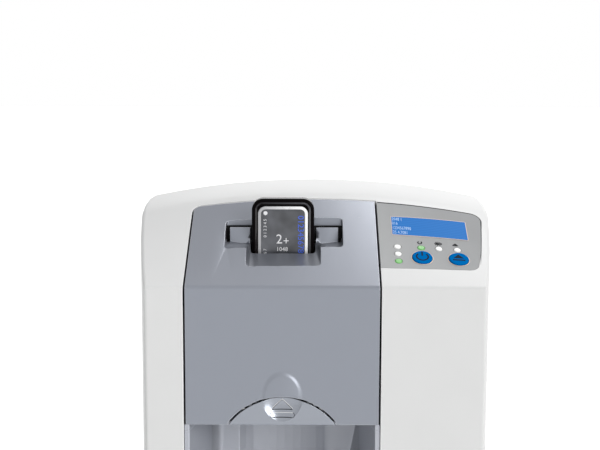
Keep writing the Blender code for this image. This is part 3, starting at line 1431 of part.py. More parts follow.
def feet():
    top = SHELL_BOTTOM - SEAT_GAP
    sole = FOOT_RADIUS - FOOT_TAPER
    profile = [(0, 0), (sole, 0), (FOOT_RADIUS, FOOT_TAPER), (FOOT_RADIUS, top), (0, top)]
    for depth_name, y in (("front", FOOT_FRONT_Y), ("rear", FOOT_REAR_Y)):
        for side, x in (("left", -FOOT_X), ("right", FOOT_X)):
            shape = turned(profile, SIDES_MEDIUM, along_z(x, y, 0))
            shade_round(add_object(f"foot_{depth_name}_{side}", shape, rubber(), (x, y, 0)))


def rear_cover_span():
    back = HALF_DEPTH - SEAT_GAP
    return back - REAR_COVER_THICKNESS, back


def cut_screw_holes(cover, through):
    """Each hole is a bore with a round seat for the screw's head."""
    seat = rear_cover_span()[1] - SCREW_HEAD_HEIGHT - SEAT_GAP
    bore, head = SCREW_RADIUS + SEAT_GAP, SCREW_HEAD_RADIUS + SEAT_GAP
    profile = [
        (0, through[0]), (bore, through[0]), (bore, seat), (head, seat), (head, through[1]), (0, through[1]),
    ]
    for x, z in screw_places():
        cut(cover, turned(profile, SIDES_MEDIUM, along_y(x, 0, z)))


def rear_cover():
    front, back = rear_cover_span()
    plate = extruded(rear_opening_outline(SEAT_GAP), front, back, "Y")
    cover = add_object("rear_cover", plate, white_plastic())
    through = (front - OVERRUN, back + OVERRUN)
    cut_screw_holes(cover, through)
    for k in range(VENT_COUNT):
        z = VENT_BOTTOM + k * VENT_PITCH
        for sign in (-1, 1):
            span = sorted((sign * VENT_MIDDLE_GAP, sign * (VENT_MIDDLE_GAP + VENT_WIDTH)))
            cut(cover, box(span, through, (z, z + VENT_HEIGHT)))
    sockets_seen = ((INLET_X, INLET_SIZE, INLET_SIZE), (NETWORK_X, NETWORK_WIDTH, NETWORK_HEIGHT))
    for x, width, height in sockets_seen:
        half_x, half_z = width / 2 + SEAT_GAP, height / 2 + SEAT_GAP
        cut(cover, box((x - half_x, x + half_x), through, (SOCKET_Z - half_z, SOCKET_Z + half_z)))


def rear_screws():
    _, back = rear_cover_span()
    head = back - SCREW_HEAD_HEIGHT
    tip = head - SCREW_LENGTH
    profile = [
        (0, tip), (SCREW_RADIUS, tip), (SCREW_RADIUS, head),
        (SCREW_HEAD_RADIUS, head), (SCREW_HEAD_RADIUS, back), (0, back),
    ]
    for k, (x, z) in enumerate(screw_places()):
        shape = turned(profile, SIDES_SMALL, along_y(x, 0, z))
        shade_round(add_object(f"rear_screw_{k + 1}", shape, steel()))


def sockets():
    """They stand as far behind the housing as the cover's mound stands in front of it."""
    back = HALF_DEPTH + MOUND_HEIGHT
    front = back - INLET_DEPTH
    block = box(centred(INLET_X, INLET_SIZE), (front, back), centred(SOCKET_Z, INLET_SIZE))
    inlet = add_object("power_inlet", block, black_plastic())
    wall = INLET_SIZE / 2 - INLET_BORE_RADIUS
    place = along_y(INLET_X, 0, SOCKET_Z)
    cut(inlet, rod(INLET_BORE_RADIUS, front + wall, back + OVERRUN, SIDES_MEDIUM, place))
    join(inlet, rod(INLET_PIN_RADIUS, front + wall / 2, back - wall, SIDES_SMALL, place))
    height = centred(SOCKET_Z, NETWORK_HEIGHT)
    block = box(centred(NETWORK_X, NETWORK_WIDTH), (back - NETWORK_DEPTH, back), height)
    port_depth = (back - NETWORK_PORT_DEPTH, back + OVERRUN)
    port_height = centred(SOCKET_Z, NETWORK_PORT_HEIGHT)
    port = box(centred(NETWORK_X, NETWORK_PORT_WIDTH), port_depth, port_height)
    cut(add_object("network_socket", block, steel()), port)


# Chassis, guide and belt drive

def roller_axis_y():
    """The belts' front run stands a little proud of the channel's wall."""
    wall = SCAN_AXIS_Y + math.sqrt(CHANNEL_RADIUS**2 - BELT_SPACING**2)
    return wall - BELT_PROUD + BELT_THICKNESS + SEAT_GAP + ROLLER_RADIUS


def gear_distance():
    return GEAR_MODULE * (GEAR_TEETH + PINION_TEETH) / 2


def motor_axis_y():
    return roller_axis_y() + gear_distance()


def chassis():
    """An upright sheet with a foot behind it, and a cheek at each side that carries the shafts."""
    left, right = CHASSIS_LEFT, CHASSIS_RIGHT
    bottom = BASE_TOP + SEAT_GAP
    sheet = CHASSIS_SHEET
    back = (CHASSIS_BACK_Y - sheet, CHASSIS_BACK_Y)
    obj = add_object("chassis", box((left, right), back, (bottom, CHASSIS_TOP)), sheet_steel())
    join(obj, box((left, right), (back[0], CHASSIS_BACK_Y + CHASSIS_FOOT_DEPTH), (bottom, bottom + sheet)))
    cheek_depth = (CHASSIS_FRONT_Y, CHASSIS_BACK_Y - sheet / 2)
    for low in (left, right - sheet):
        join(obj, box((low, low + sheet), cheek_depth, (CHEEK_BOTTOM, CHASSIS_TOP)))
    for z in (UPPER_ROLLER_Z, LOWER_ROLLER_Z):
        place = along_x(0, roller_axis_y(), z)
        cut(obj, rod(SHAFT_RADIUS + PIN_CLEARANCE, left - OVERRUN, right + OVERRUN, SIDES_MEDIUM, place))
    place = along_x(0, motor_axis_y(), LOWER_ROLLER_Z)
    cut(obj, rod(MOTOR_HOLE_RADIUS, right - OVERRUN, right + OVERRUN, SIDES_SMALL, place))


def scan_guide():
    """The upright guide: the bay's channel carried on upwards between the chassis cheeks."""
    wall = GUIDE_WALL
    left = CHASSIS_LEFT + CHASSIS_SHEET + SEAT_GAP
    right = CHASSIS_RIGHT - CHASSIS_SHEET - SEAT_GAP
    back = BAY_FLAT_Y + wall
    inner = [(left, BAY_FLAT_Y)] + channel_points(CHANNEL_RADIUS) + [(right, BAY_FLAT_Y)]
    outer = [(left, back)] + channel_points(CHANNEL_RADIUS + wall) + [(right, back)]
    shape = extruded(inner + outer[::-1], BAY_TOP + BAY_WALL + SEAT_GAP, GUIDE_TOP)
    guide = add_object("scan_guide", shape, material("dark_plastic", "3A3D42", 0.6))
    room = ROLLER_RADIUS + BELT_THICKNESS + 2 * SLIDE_GAP
    window_height = (LOWER_ROLLER_Z - room, UPPER_ROLLER_Z + room)
    for x in belt_xs().values():
        across = centred(x, ROLLER_WIDTH + 2 * SLIDE_GAP)
        cut(guide, box(across, (SCAN_AXIS_Y, roller_axis_y()), window_height))


def belt_xs():
    return {"left": CHANNEL_X - BELT_SPACING, "right": CHANNEL_X + BELT_SPACING}


def shaft_end_x():
    return CHASSIS_RIGHT + GEAR_CHEEK_GAP


def rollers():
    """Each shaft turns in the cheeks and carries two belt rollers. The lower one reaches the gear."""
    low = CHASSIS_LEFT - OVERRUN / 2
    ends = {"upper": CHASSIS_RIGHT + OVERRUN / 2, "lower": shaft_end_x() + GEAR_WIDTH}
    for level, z in (("upper", UPPER_ROLLER_Z), ("lower", LOWER_ROLLER_Z)):
        place = along_x(0, roller_axis_y(), z)
        profile = [(0, low), (SHAFT_RADIUS, low)]
        for x in belt_xs().values():
            start, end = centred(x, ROLLER_WIDTH)
            profile += [(SHAFT_RADIUS, start), (ROLLER_RADIUS, start)]
            profile += [(ROLLER_RADIUS, end), (SHAFT_RADIUS, end)]
        profile += [(SHAFT_RADIUS, ends[level]), (0, ends[level])]
        shape, origin = turned(profile, SIDES_MEDIUM, place), (CHANNEL_X, roller_axis_y(), z)
        shade_round(add_object(f"{level}_belt_roller", shape, steel(), origin))


def belts():
    """Each belt is a closed band round both rollers."""
    inner = ROLLER_RADIUS + SEAT_GAP

    def band(radius):
        points = []
        for z, start in ((UPPER_ROLLER_Z, 0.0), (LOWER_ROLLER_Z, math.pi)):
            for k in range(SIDES_MEDIUM // 2 + 1):
                angle = start + 2 * math.pi * k / SIDES_MEDIUM
                points.append((roller_axis_y() + radius * math.cos(angle), z + radius * math.sin(angle)))
        return points

    for side, x in belt_xs().items():
        half = BELT_WIDTH / 2
        shape = extruded(band(inner + BELT_THICKNESS), x - half, x + half, "X")
        belt = add_object(f"transport_belt_{side}", shape, rubber())
        cut(belt, extruded(band(inner), x - half - OVERRUN, x + half + OVERRUN, "X"))


def gear_outline(teeth, turn):
    """Trapezoid teeth on the pitch circle, slimmed for running clearance."""
    pitch = GEAR_MODULE * teeth / 2
    tip, root = pitch + TOOTH_TOP_SHARE * GEAR_MODULE, pitch - TOOTH_FOOT_SHARE * GEAR_MODULE
    near, far = TOOTH_TIP_WIDTH_SHARE, TOOTH_ROOT_WIDTH_SHARE
    points = []
    for k in range(teeth):
        middle = turn + 2 * math.pi * k / teeth
        step = 2 * math.pi / teeth
        for share, radius in ((-far, root), (-near, tip), (near, tip), (far, root)):
            angle = middle + share * step
            points.append((radius * math.cos(angle), radius * math.sin(angle)))
    return points


def gears():
    y, z = roller_axis_y(), LOWER_ROLLER_Z
    start = shaft_end_x()
    end = start + GEAR_WIDTH
    gear = [(y + a, z + b) for a, b in gear_outline(GEAR_TEETH, 0.0)]
    obj = add_object("roller_gear", extruded(gear, start, end, "X"), black_plastic(), (start, y, z))
    hub = SHAFT_RADIUS + SEAT_GAP
    cut(obj, rod(hub, start - OVERRUN, end + OVERRUN, SIDES_MEDIUM, along_x(0, y, z)))
    motor_y = motor_axis_y()
    half_tooth = math.pi / PINION_TEETH
    pinion = [(motor_y + a, z + b) for a, b in gear_outline(PINION_TEETH, math.pi + half_tooth)]
    obj = add_object("motor_pinion", extruded(pinion, start, end, "X"), steel(), (start, motor_y, z))
    shaft = (CHASSIS_RIGHT - CHASSIS_SHEET, start + GEAR_WIDTH / 2)
    join(obj, rod(MOTOR_SHAFT_RADIUS, *shaft, SIDES_SMALL, along_x(0, motor_y, z)))


def transport_motor():
    face = CHASSIS_RIGHT - CHASSIS_SHEET - SEAT_GAP
    place = along_x(0, motor_axis_y(), LOWER_ROLLER_Z)
    end = face - MOTOR_LENGTH
    profile = [
        (0, end), (MOTOR_RADIUS - MOTOR_CHAMFER, end), (MOTOR_RADIUS, end + MOTOR_CHAMFER),
        (MOTOR_RADIUS, face), (0, face),
    ]
    shade_round(add_object("transport_motor", turned(profile, SIDES_MEDIUM, place), steel()))


# Optics

def optics_frame():
    """A C-shaped carrier in front of the plate path, held by the guide at its right."""
    depth = (OPTICS_FRONT_Y, OPTICS_BACK_Y)
    sheet = OPTICS_SHEET
    floor = box((OPTICS_LEFT, OPTICS_RIGHT), depth, (OPTICS_FLOOR, OPTICS_FLOOR + sheet))
    obj = add_object("optics_frame", floor, material("cast_aluminium", "8E9296", 0.45, 1.0))
    join(obj, box((OPTICS_TOP_LEFT, OPTICS_RIGHT), depth, (OPTICS_TOP - sheet, OPTICS_TOP)))
    side_depth = (OPTICS_FRONT_Y, BAY_FLAT_Y - SEAT_GAP)
    join(obj, box((OPTICS_RIGHT - sheet, OPTICS_RIGHT), side_depth, (OPTICS_FLOOR, OPTICS_TOP)))
    cradle = centred(TUBE_LEFT + TUBE_LENGTH / 2, CRADLE_WIDTH)
    join(obj, box(cradle, depth, (OPTICS_FLOOR + sheet / 2, TUBE_Z - TUBE_RADIUS / 2)))
    ends = (TUBE_LEFT - OVERRUN, TUBE_LEFT + TUBE_LENGTH + OVERRUN)
    cut(obj, rod(TUBE_RADIUS + SEAT_GAP, *ends, SIDES_MEDIUM, along_x(0, SCAN_AXIS_Y, TUBE_Z)))


def laser_module():
    place = along_z(CHANNEL_X, SCAN_AXIS_Y, OPTICS_FLOOR + OPTICS_SHEET + SEAT_GAP)
    laser = add_object("laser_module", rod(LASER_RADIUS, 0, LASER_LENGTH, SIDES_MEDIUM, place), steel())
    cut(laser, rod(BEAM_RADIUS, LASER_LENGTH / 2, LASER_LENGTH + OVERRUN, SIDES_SMALL, place))


def prism_and_motor():
    """The spinning prism hangs on its spindle from the motor above it."""
    x, y = CHANNEL_X, SCAN_AXIS_Y
    axis = along_z(x, y, 0)
    top = OPTICS_TOP - OPTICS_SHEET - SEAT_GAP
    bottom = top - SPINNER_MOTOR_LENGTH
    case = rod(SPINNER_MOTOR_RADIUS, bottom, top, SIDES_MEDIUM, axis)
    motor = add_object("spinner_motor", case, black_plastic())
    bore_top = bottom + SPINNER_MOTOR_LENGTH / 2
    cut(motor, rod(SPINDLE_RADIUS + PIN_CLEARANCE, bottom - OVERRUN, bore_top, SIDES_SMALL, axis))
    disc = rod(SPINNER_RADIUS, SPINNER_Z, SPINNER_Z + SPINNER_DISC, SIDES_MEDIUM, axis)
    spinner = add_object("prism_spinner", disc, steel(), (x, y, SPINNER_Z))
    half = PRISM_SIZE / 2
    slanted = [
        (y - half, SPINNER_Z), (y + half, SPINNER_Z),
        (y + half, SPINNER_Z + PRISM_SIZE + half), (y - half, SPINNER_Z + half),
    ]
    join(spinner, extruded(slanted, x - half, x + half, "X"))
    spindle = (SPINNER_Z + SPINNER_DISC / 2, bore_top - SLIDE_GAP)
    join(spinner, rod(SPINDLE_RADIUS, *spindle, SIDES_SMALL, axis))


def light_sensor():
    """The photomultiplier lies in its cradle, with the funnel that gathers light in front of it."""
    axis = along_x(0, SCAN_AXIS_Y, TUBE_Z)
    right = TUBE_LEFT + TUBE_LENGTH
    case = rod(TUBE_RADIUS, TUBE_LEFT, right, SIDES_MEDIUM, axis)
    shade_round(add_object("photomultiplier", case, material("dark_glass", "2A2D33", 0.15)))
    low = right + SEAT_GAP
    mouth = low + COLLECTOR_LENGTH
    profile = [(0, low), (TUBE_RADIUS, low), (COLLECTOR_MOUTH_RADIUS, mouth), (0, mouth)]
    shade_round(add_object("light_collector", turned(profile, SIDES_MEDIUM, axis), steel()))


def erase_lamp():
    front = OPTICS_BACK_Y + SEAT_GAP
    height = (OPTICS_FLOOR, OPTICS_FLOOR + LAMP_HEIGHT)
    add_object("erase_lamp", box((LAMP_LEFT, LAMP_RIGHT), (front, front + LAMP_DEPTH), height), white_lens())


# Circuit boards

def control_board():
    """The main board stands behind the chassis on four standoffs, with its chips and its plug block."""
    centre = (CHASSIS_LEFT + CHASSIS_RIGHT) / 2
    x_span = centred(centre, CONTROL_BOARD_WIDTH)
    z_span = (CONTROL_BOARD_BOTTOM, CONTROL_BOARD_BOTTOM + CONTROL_BOARD_HEIGHT)
    face = CHASSIS_BACK_Y + STANDOFF_LENGTH
    middle, top = face + BOARD_THICKNESS / 2, face + BOARD_THICKNESS
    board = add_object("control_board", box(x_span, (face, top), z_span), circuit_green())
    for x in (x_span[0] + STANDOFF_INSET, x_span[1] - STANDOFF_INSET):
        for z in (z_span[0] + STANDOFF_INSET, z_span[1] - STANDOFF_INSET):
            low = CHASSIS_BACK_Y + SEAT_GAP
            join(board, rod(STANDOFF_RADIUS, low, middle, SIDES_SMALL, along_y(x, 0, z)))
    chip_z = CONTROL_BOARD_BOTTOM + CONTROL_BOARD_HEIGHT / 2
    for x in (centre - CHIP_SIZE, centre + CHIP_SIZE):
        join(board, box(centred(x, CHIP_SIZE), (middle, top + CHIP_HEIGHT), (chip_z, chip_z + CHIP_SIZE)))
    low_z = CONTROL_BOARD_BOTTOM + 2 * STANDOFF_INSET
    plug_height = (low_z, low_z + PLUG_BLOCK_HEIGHT)
    join(board, box(centred(centre, PLUG_BLOCK_WIDTH), (middle, top + PLUG_BLOCK_HEIGHT), plug_height))


def power_board():
    """The supply board lies on the base plate at the right, on four short posts."""
    x_span = (POWER_BOARD_LEFT, POWER_BOARD_RIGHT)
    y_span = (POWER_BOARD_FRONT_Y, POWER_BOARD_BACK_Y)
    low = BASE_TOP + POWER_BOARD_HEIGHT
    middle = low + BOARD_THICKNESS / 2
    board = add_object("power_board", box(x_span, y_span, (low, low + BOARD_THICKNESS)), circuit_green())
    for x in (x_span[0] + STANDOFF_INSET, x_span[1] - STANDOFF_INSET):
        for y in (y_span[0] + STANDOFF_INSET, y_span[1] - STANDOFF_INSET):
            join(board, rod(STANDOFF_RADIUS, BASE_TOP + SEAT_GAP, middle, SIDES_SMALL, along_z(x, y, 0)))
    middle_x = sum(x_span) / 2
    for y in (y_span[0] + COIL_SIZE, y_span[0] + COIL_SIZE + CAPACITOR_PITCH):
        top = middle + CAPACITOR_HEIGHT
        join(board, rod(CAPACITOR_RADIUS, middle, top, SIDES_MEDIUM, along_z(middle_x, y, 0)))
    coil_y = y_span[1] - COIL_SIZE
    coil_height = (middle, middle + COIL_HEIGHT)
    join(board, box(centred(middle_x, COIL_SIZE), centred(coil_y, COIL_SIZE), coil_height))


def main():
    clear_scene()
    housing_shell()
    hinge_pins()
    front_cover()
    release_lever()
    lever_pin()
    lever_spring()
    plate_holder()
    imaging_plate()
    bay_liner()
    output_tray()
    control_panel()
    status_lights()
    push_buttons()
    display_pieces()
    key_board()
    base_plate()
    feet()
    rear_cover()
    rear_screws()
    sockets()
    chassis()
    scan_guide()
    rollers()
    belts()
    gears()
    transport_motor()
    optics_frame()
    laser_module()
    prism_and_motor()
    light_sensor()
    erase_lamp()
    control_board()
    power_board()


main()
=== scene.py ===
# %% [markdown]
# # Phosphor plate scanner: from solids to finished surfaces
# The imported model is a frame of 54 solids that already have their real size and place. This lesson gives
# each of them its finish and models the pieces where the eye looks closest: the plate in its holder, the
# display with its rows of figures, the signs on the keys and the fine lines that frame them. Nothing is
# moved or scaled.

# %% Load the solids
import math

import bmesh
import bpy
import numpy as np
from mathutils import Matrix, Vector


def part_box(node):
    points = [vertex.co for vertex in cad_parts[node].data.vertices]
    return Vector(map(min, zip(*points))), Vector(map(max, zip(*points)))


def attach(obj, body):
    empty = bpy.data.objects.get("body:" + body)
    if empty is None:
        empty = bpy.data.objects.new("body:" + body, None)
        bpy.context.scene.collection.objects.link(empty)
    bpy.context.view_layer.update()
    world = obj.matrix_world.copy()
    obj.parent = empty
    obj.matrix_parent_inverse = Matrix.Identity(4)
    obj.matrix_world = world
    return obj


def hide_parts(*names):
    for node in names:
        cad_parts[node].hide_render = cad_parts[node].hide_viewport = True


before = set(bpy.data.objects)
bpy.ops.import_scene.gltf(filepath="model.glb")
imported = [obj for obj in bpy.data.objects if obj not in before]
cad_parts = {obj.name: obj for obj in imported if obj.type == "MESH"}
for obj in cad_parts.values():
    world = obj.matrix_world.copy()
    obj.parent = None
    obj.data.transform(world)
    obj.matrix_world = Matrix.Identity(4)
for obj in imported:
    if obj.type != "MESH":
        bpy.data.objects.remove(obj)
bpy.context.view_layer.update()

# %% Driving places in mm, read from the solids
MM = 0.001
HALF_WIDTH = round(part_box("housing_shell")[1].x / MM, 3)
FACE = round(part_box("housing_shell")[0].y / MM, 3)
MIDDLE = round(sum(corner.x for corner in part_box("front_cover")) / 2 / MM, 3)
print("half width", HALF_WIDTH, "front face at y", FACE, "middle of cover and bay at x", MIDDLE)

# %% [markdown]
# ## Colours and shader nodes
# A hex colour is how a finish is matched from a swatch, but the shader works in linear light.
# One function turns the one into the other. One more adds any shader node with its settings and links, so
# a material reads as a short list of what it is made of.


# %% Helpers for materials
def srgb(code):
    """Linear red, green, blue and alpha of an sRGB hex colour, by the sRGB curve's two branches."""
    level = np.array([int(code[k : k + 2], 16) for k in (0, 2, 4)]) / 255
    linear = np.where(level <= 0.04045, level / 12.92, ((level + 0.055) / 1.055) ** 2.4)
    return (*linear.tolist(), 1.0)


def add(tree, kind, inputs=None, **settings):
    """Adds one node. Settings are its properties, inputs are numbers, colours or other nodes' sockets."""
    node = tree.nodes.new(kind)
    for name, value in settings.items():
        setattr(node, name, value)
    for socket, value in (inputs or {}).items():
        if isinstance(value, bpy.types.NodeSocket):
            tree.links.new(value, node.inputs[socket])
        else:
            node.inputs[socket].default_value = value
    return node


def finish(name, colour, roughness, **sockets):
    """A material with one surface shader. Its constant values are set on the shader's own sockets."""
    made = bpy.data.materials.new(name)
    made.use_nodes = True
    shader = made.node_tree.nodes["Principled BSDF"]
    shader.inputs["Base Color"].default_value = srgb(colour)
    shader.inputs["Roughness"].default_value = roughness
    for socket, value in sockets.items():
        shader.inputs[socket.replace("_", " ")].default_value = value
    print("finish", name)
    return made, made.node_tree, shader


def object_place(tree):
    """Place on the object in metres."""
    return add(tree, "ShaderNodeTexCoord").outputs["Object"]


def noise(tree, place, size, detail):
    """Cloudy values around one half, with clouds of a size in metres."""
    inputs = {"Vector": place, "Scale": 1 / size, "Detail": detail}
    return add(tree, "ShaderNodeTexNoise", inputs).outputs["Fac"]


def ramp(tree, value, start, end):
    """Share that goes from 0 to 1 while the value goes from start to end."""
    node = add(tree, "ShaderNodeMapRange", {"Value": value, "From Min": start, "From Max": end})
    return node.outputs["Result"]


def combine(tree, operation, first, second):
    """Two values put together, as their sum, their product or the greater of both."""
    return add(tree, "ShaderNodeMath", {0: first, 1: second}, operation=operation).outputs[0]


def mixed(tree, factor, first, second):
    """Colour between two others, as a socket."""
    node = add(tree, "ShaderNodeMix", {"Factor": factor, "A": first, "B": second}, data_type="RGBA")
    return node.outputs["Result"]


BEVEL_SAMPLES = 6
BROAD_CLOUDS = 60
BUMP_STRENGTH = 0.5


def grain(tree, shader, size, height, low, high, edge=None):
    """Texture of a size and height in mm: fine noise lifts the surface, and a broad one varies the gloss.

    The roughness goes from low to high. With an edge radius in mm, the normal is also averaged over that
    distance, which rounds the sharp edges. The values of the broad noise come back.
    """
    place = object_place(tree)
    fine = noise(tree, place, size * MM, 3.0)
    lift = {"Height": fine, "Distance": height * MM, "Strength": BUMP_STRENGTH}
    if edge:
        lift["Normal"] = add(tree, "ShaderNodeBevel", {"Radius": edge * MM}, samples=BEVEL_SAMPLES).outputs[0]
    bump = add(tree, "ShaderNodeBump", lift)
    tree.links.new(bump.outputs["Normal"], shader.inputs["Normal"])
    broad = noise(tree, place, BROAD_CLOUDS * size * MM, 2.0)
    spread = add(tree, "ShaderNodeMapRange", {"Value": broad, "To Min": low, "To Max": high})
    tree.links.new(spread.outputs["Result"], shader.inputs["Roughness"])
    return broad


def grained(name, colour, roughness, size, height, low, high, **sockets):
    """A material of one colour with its grain."""
    made, tree, shader = finish(name, colour, roughness, **sockets)
    grain(tree, shader, size, height, low, high)
    return made


def printed(name, colour, roughness, **sockets):
    """Print: a thin layer of one colour that is nearly smooth."""
    return grained(name, colour, roughness, 0.3, 0.002, roughness - 0.05, roughness + 0.05, **sockets)


def tint(tree, shader, factor, dark, light):
    """Colour between two shades where the factor says. Noises and patterns give the thing's own drift of
    colour; a factor that follows a place or a slant gives painted light.
    """
    colour = mixed(tree, factor, srgb(dark), srgb(light))
    tree.links.new(colour, shader.inputs["Base Color"])
    return colour


def flop_and_painted_shade(tree, shader, low, high, facing, turned):
    """Colour darker where the surface is seen at a slant: partly the flop of metallic lacquer, whose flakes
    lie flat, and partly painted shade.

    Facing is 0 square on and 1 along the surface, and the colour changes while it goes from low to high.
    """
    slant = add(tree, "ShaderNodeLayerWeight", {"Blend": 0.5}).outputs["Facing"]
    return tint(tree, shader, ramp(tree, slant, low, high), facing, turned)


MOST_HIGHLIGHT = 0.9


def painted_edge_highlight(tree, shader, colour, edge, bright, start=0.985, full=0.85):
    """Painted highlight on edges: where the rounded normal leaves the flat one, the colour turns brighter.

    The measure is the product of both normals, 1 on a flat and less on an edge, from start to full.
    """
    soft = add(tree, "ShaderNodeBevel", {"Radius": edge * MM}, samples=BEVEL_SAMPLES).outputs["Normal"]
    flat = add(tree, "ShaderNodeNewGeometry").outputs["Normal"]
    same = add(tree, "ShaderNodeVectorMath", {0: soft, 1: flat}, operation="DOT_PRODUCT").outputs["Value"]
    limits = {"Value": same, "From Min": start, "From Max": full, "To Min": 0.0, "To Max": MOST_HIGHLIGHT}
    amount = add(tree, "ShaderNodeMapRange", limits).outputs["Result"]
    tree.links.new(mixed(tree, amount, colour, srgb(bright)), shader.inputs["Base Color"])


# %% [markdown]
# ## The two housing plastics
# Housings of clinic devices are injection-moulded ABS. The steel mould is spark-eroded, which leaves a
# fine satin grain of about 0.15 mm. That is finer than a pixel here, so it is drawn at 0.5 mm with a very
# low height: the eye gets the soft, wide highlight and no visible dots. No moulded edge is a knife edge.
# A Bevel modifier would do it on a clean mesh, but a solid's mesh is loose triangles that it would tear,
# so the edge radius of half a millimetre is worked out in the shader.

# %% White ABS, spark-eroded mould
white_abs, tree, shader = finish("white_abs_spark_eroded", "DCDCDB", 0.42, IOR=1.53)
broad = grain(tree, shader, 0.5, 0.01, 0.36, 0.46, edge=0.6)
# Painted highlight: the housing's edges turn towards pure white.
painted_edge_highlight(tree, shader, tint(tree, shader, broad, "DADAD9", "DEDEDD"), 1.0, "FFFFFF", full=0.92)

# %% [markdown]
# The cover is the same plastic with a silver-grey lacquer. Aluminium flakes in it brighten where the surface
# turns to the light, so a little metallic and a cool tint match it better than plain grey. The bay under it
# is duller, and paler by painted light that makes up for the shade under the cover; the lever has the
# brightest lacquer of the three.

# %% Grey lacquered ABS
grey_lacquer, tree, shader = finish("silver_grey_lacquer_on_abs", "8B8F98", 0.32, IOR=1.5, Metallic=0.5)
grain(tree, shader, 0.5, 0.008, 0.28, 0.34, edge=0.6)
# The cover's colour is darker at a slant, partly lacquer flop and partly painted shade, and its edges carry a
# painted highlight.
painted_edge_highlight(tree, shader, flop_and_painted_shade(tree, shader, 0.06, 0.62, "8D919A", "82858D"), 0.8, "C6C9D0")
# Painted light: the bay's lacquer is paler than the cover's to make up for its shade, and its edges carry a
# painted highlight.
bay_lacquer, tree, shader = finish("bay_lacquer_with_painted_light", "B0B3BB", 0.45, IOR=1.5, Metallic=0.3)
broad = grain(tree, shader, 0.5, 0.008, 0.40, 0.50, edge=1.0)
colour = tint(tree, shader, broad, "AEB1B9", "B2B5BD")
painted_edge_highlight(tree, shader, colour, 0.9, "D6D9E2", start=0.998, full=0.96)
lever_lacquer, tree, shader = finish("bright_silver_lacquer", "9A9DA5", 0.2, IOR=1.5, Metallic=0.8)
grain(tree, shader, 0.4, 0.004, 0.18, 0.24, edge=0.4)
# The lever's colour darkens strongly at a slant, partly lacquer flop and partly painted shade on the walls of
# its hollow.
flop_and_painted_shade(tree, shader, 0.04, 0.42, "969AA2", "4E5157")
# Painted shade: black for the dark inside of the cover's slot.
slot_painted_shade = grained("black_slot_painted_shade", "0B0B0D", 0.9, 0.4, 0.02, 0.85, 0.95, IOR=1.45)

# %% [markdown]
# ## Panel, display, keys and lights
# The control panel is a polyester foil, printed silver from behind, with painted light that makes it paler
# towards its front left.
# The display is a blue film lit from its back, so a part of its colour is its own light. The keys are blue
# polycarbonate, and the small lights are frosted lenses.


# %% Foil and display film
def share_along(tree, axes, start, end):
    """Share from 0 to 1 between two places along an axis of the object or along the sum of two, in mm."""
    parts = add(tree, "ShaderNodeSeparateXYZ", {0: object_place(tree)}).outputs
    run = parts[axes[0]]
    for axis in axes[1:]:
        run = combine(tree, "ADD", run, parts[axis])
    return ramp(tree, run, start * MM, end * MM)


foil, tree, shader = finish("printed_polyester_foil", "A2A3A3", 0.45, IOR=1.5, Specular_IOR_Level=0.2)
grain(tree, shader, 0.3, 0.006, 0.42, 0.5)
# Painted light: the foil grows paler towards its front left.
tint(tree, shader, share_along(tree, "XY", 35, -55), "949596", "AEAFAF")
display_film, tree, shader = finish(
    "backlit_display_blue",
    "124A84",
    0.35,
    IOR=1.49,
    Specular_IOR_Level=0.03,
    Emission_Color=srgb("2A70B2"),
    Emission_Strength=0.75,
)


def stripes(tree, axis, scale):
    """Soft stripes along one axis of the object."""
    inputs = {"Vector": object_place(tree), "Scale": scale}
    return add(tree, "ShaderNodeTexWave", inputs, bands_direction=axis).outputs["Fac"]


tint(tree, shader, stripes(tree, "Y", 196.0), "0F4480", "1B508C")

# %% Lenses, keys and inks
LENS_GRAIN = (0.3, 0.01, 0.30, 0.40)
frosted = grained("frosted_white_polycarbonate", "F6F6F4", 0.35, *LENS_GRAIN, IOR=1.58)
lit = {"IOR": 1.58, "Emission_Color": srgb("62A957"), "Emission_Strength": 0.3}
green_glow = grained("green_polycarbonate_lit", "6AAB60", 0.35, *LENS_GRAIN, **lit)
dull = {"IOR": 1.45, "Specular_IOR_Level": 0.0}
blue_key, tree, shader = finish("blue_polycarbonate_key", "006CB6", 0.36, **dull)
tint(tree, shader, grain(tree, shader, 0.3, 0.006, 0.32, 0.40, edge=0.4), "006AB4", "006EB8")
figure_ink = printed("pale_lit_figures", "A6C8EC", 0.4, Emission_Color=srgb("A6C8EC"))
key_ink = printed("black_print_on_blue", "0B1A2A", 0.5, IOR=1.5, Specular_IOR_Level=0.05)
# Black print, also used as painted shade for the panel's shadow line and the lever sign's dark lines.
dark_ink_and_shade = printed("black_print_and_painted_shade", "1A1C20", 0.5, IOR=1.5, Specular_IOR_Level=0.1)
peach_line = printed("pale_copper_print", "D9C2AC", 0.4, IOR=1.5)
white_ink = printed("white_screen_print", "E8E8EA", 0.4, IOR=1.5)
blue_ink = printed("blue_screen_print", "3F66DC", 0.4, IOR=1.5)

# %% [markdown]
# ## Holder and imaging plate
# The holder is polished black ABS, and the chamfer round its window is grey by a painted reflection that is
# paler on the right. The imaging plate is a polyester film with a silver rim, and a painted highlight makes
# the rim grey on the left and white on the right. Its dark side is cloudy, because the phosphor layer behind
# it is cast and never quite even, so a noise of about 17 mm shades it.

# %% Gloss, film and silver rim
shallow = {"IOR": 1.4, "Specular_IOR_Level": 0.03}
black_gloss = grained("polished_black_abs", "0A0708", 0.08, 0.6, 0.001, 0.06, 0.11, **shallow)
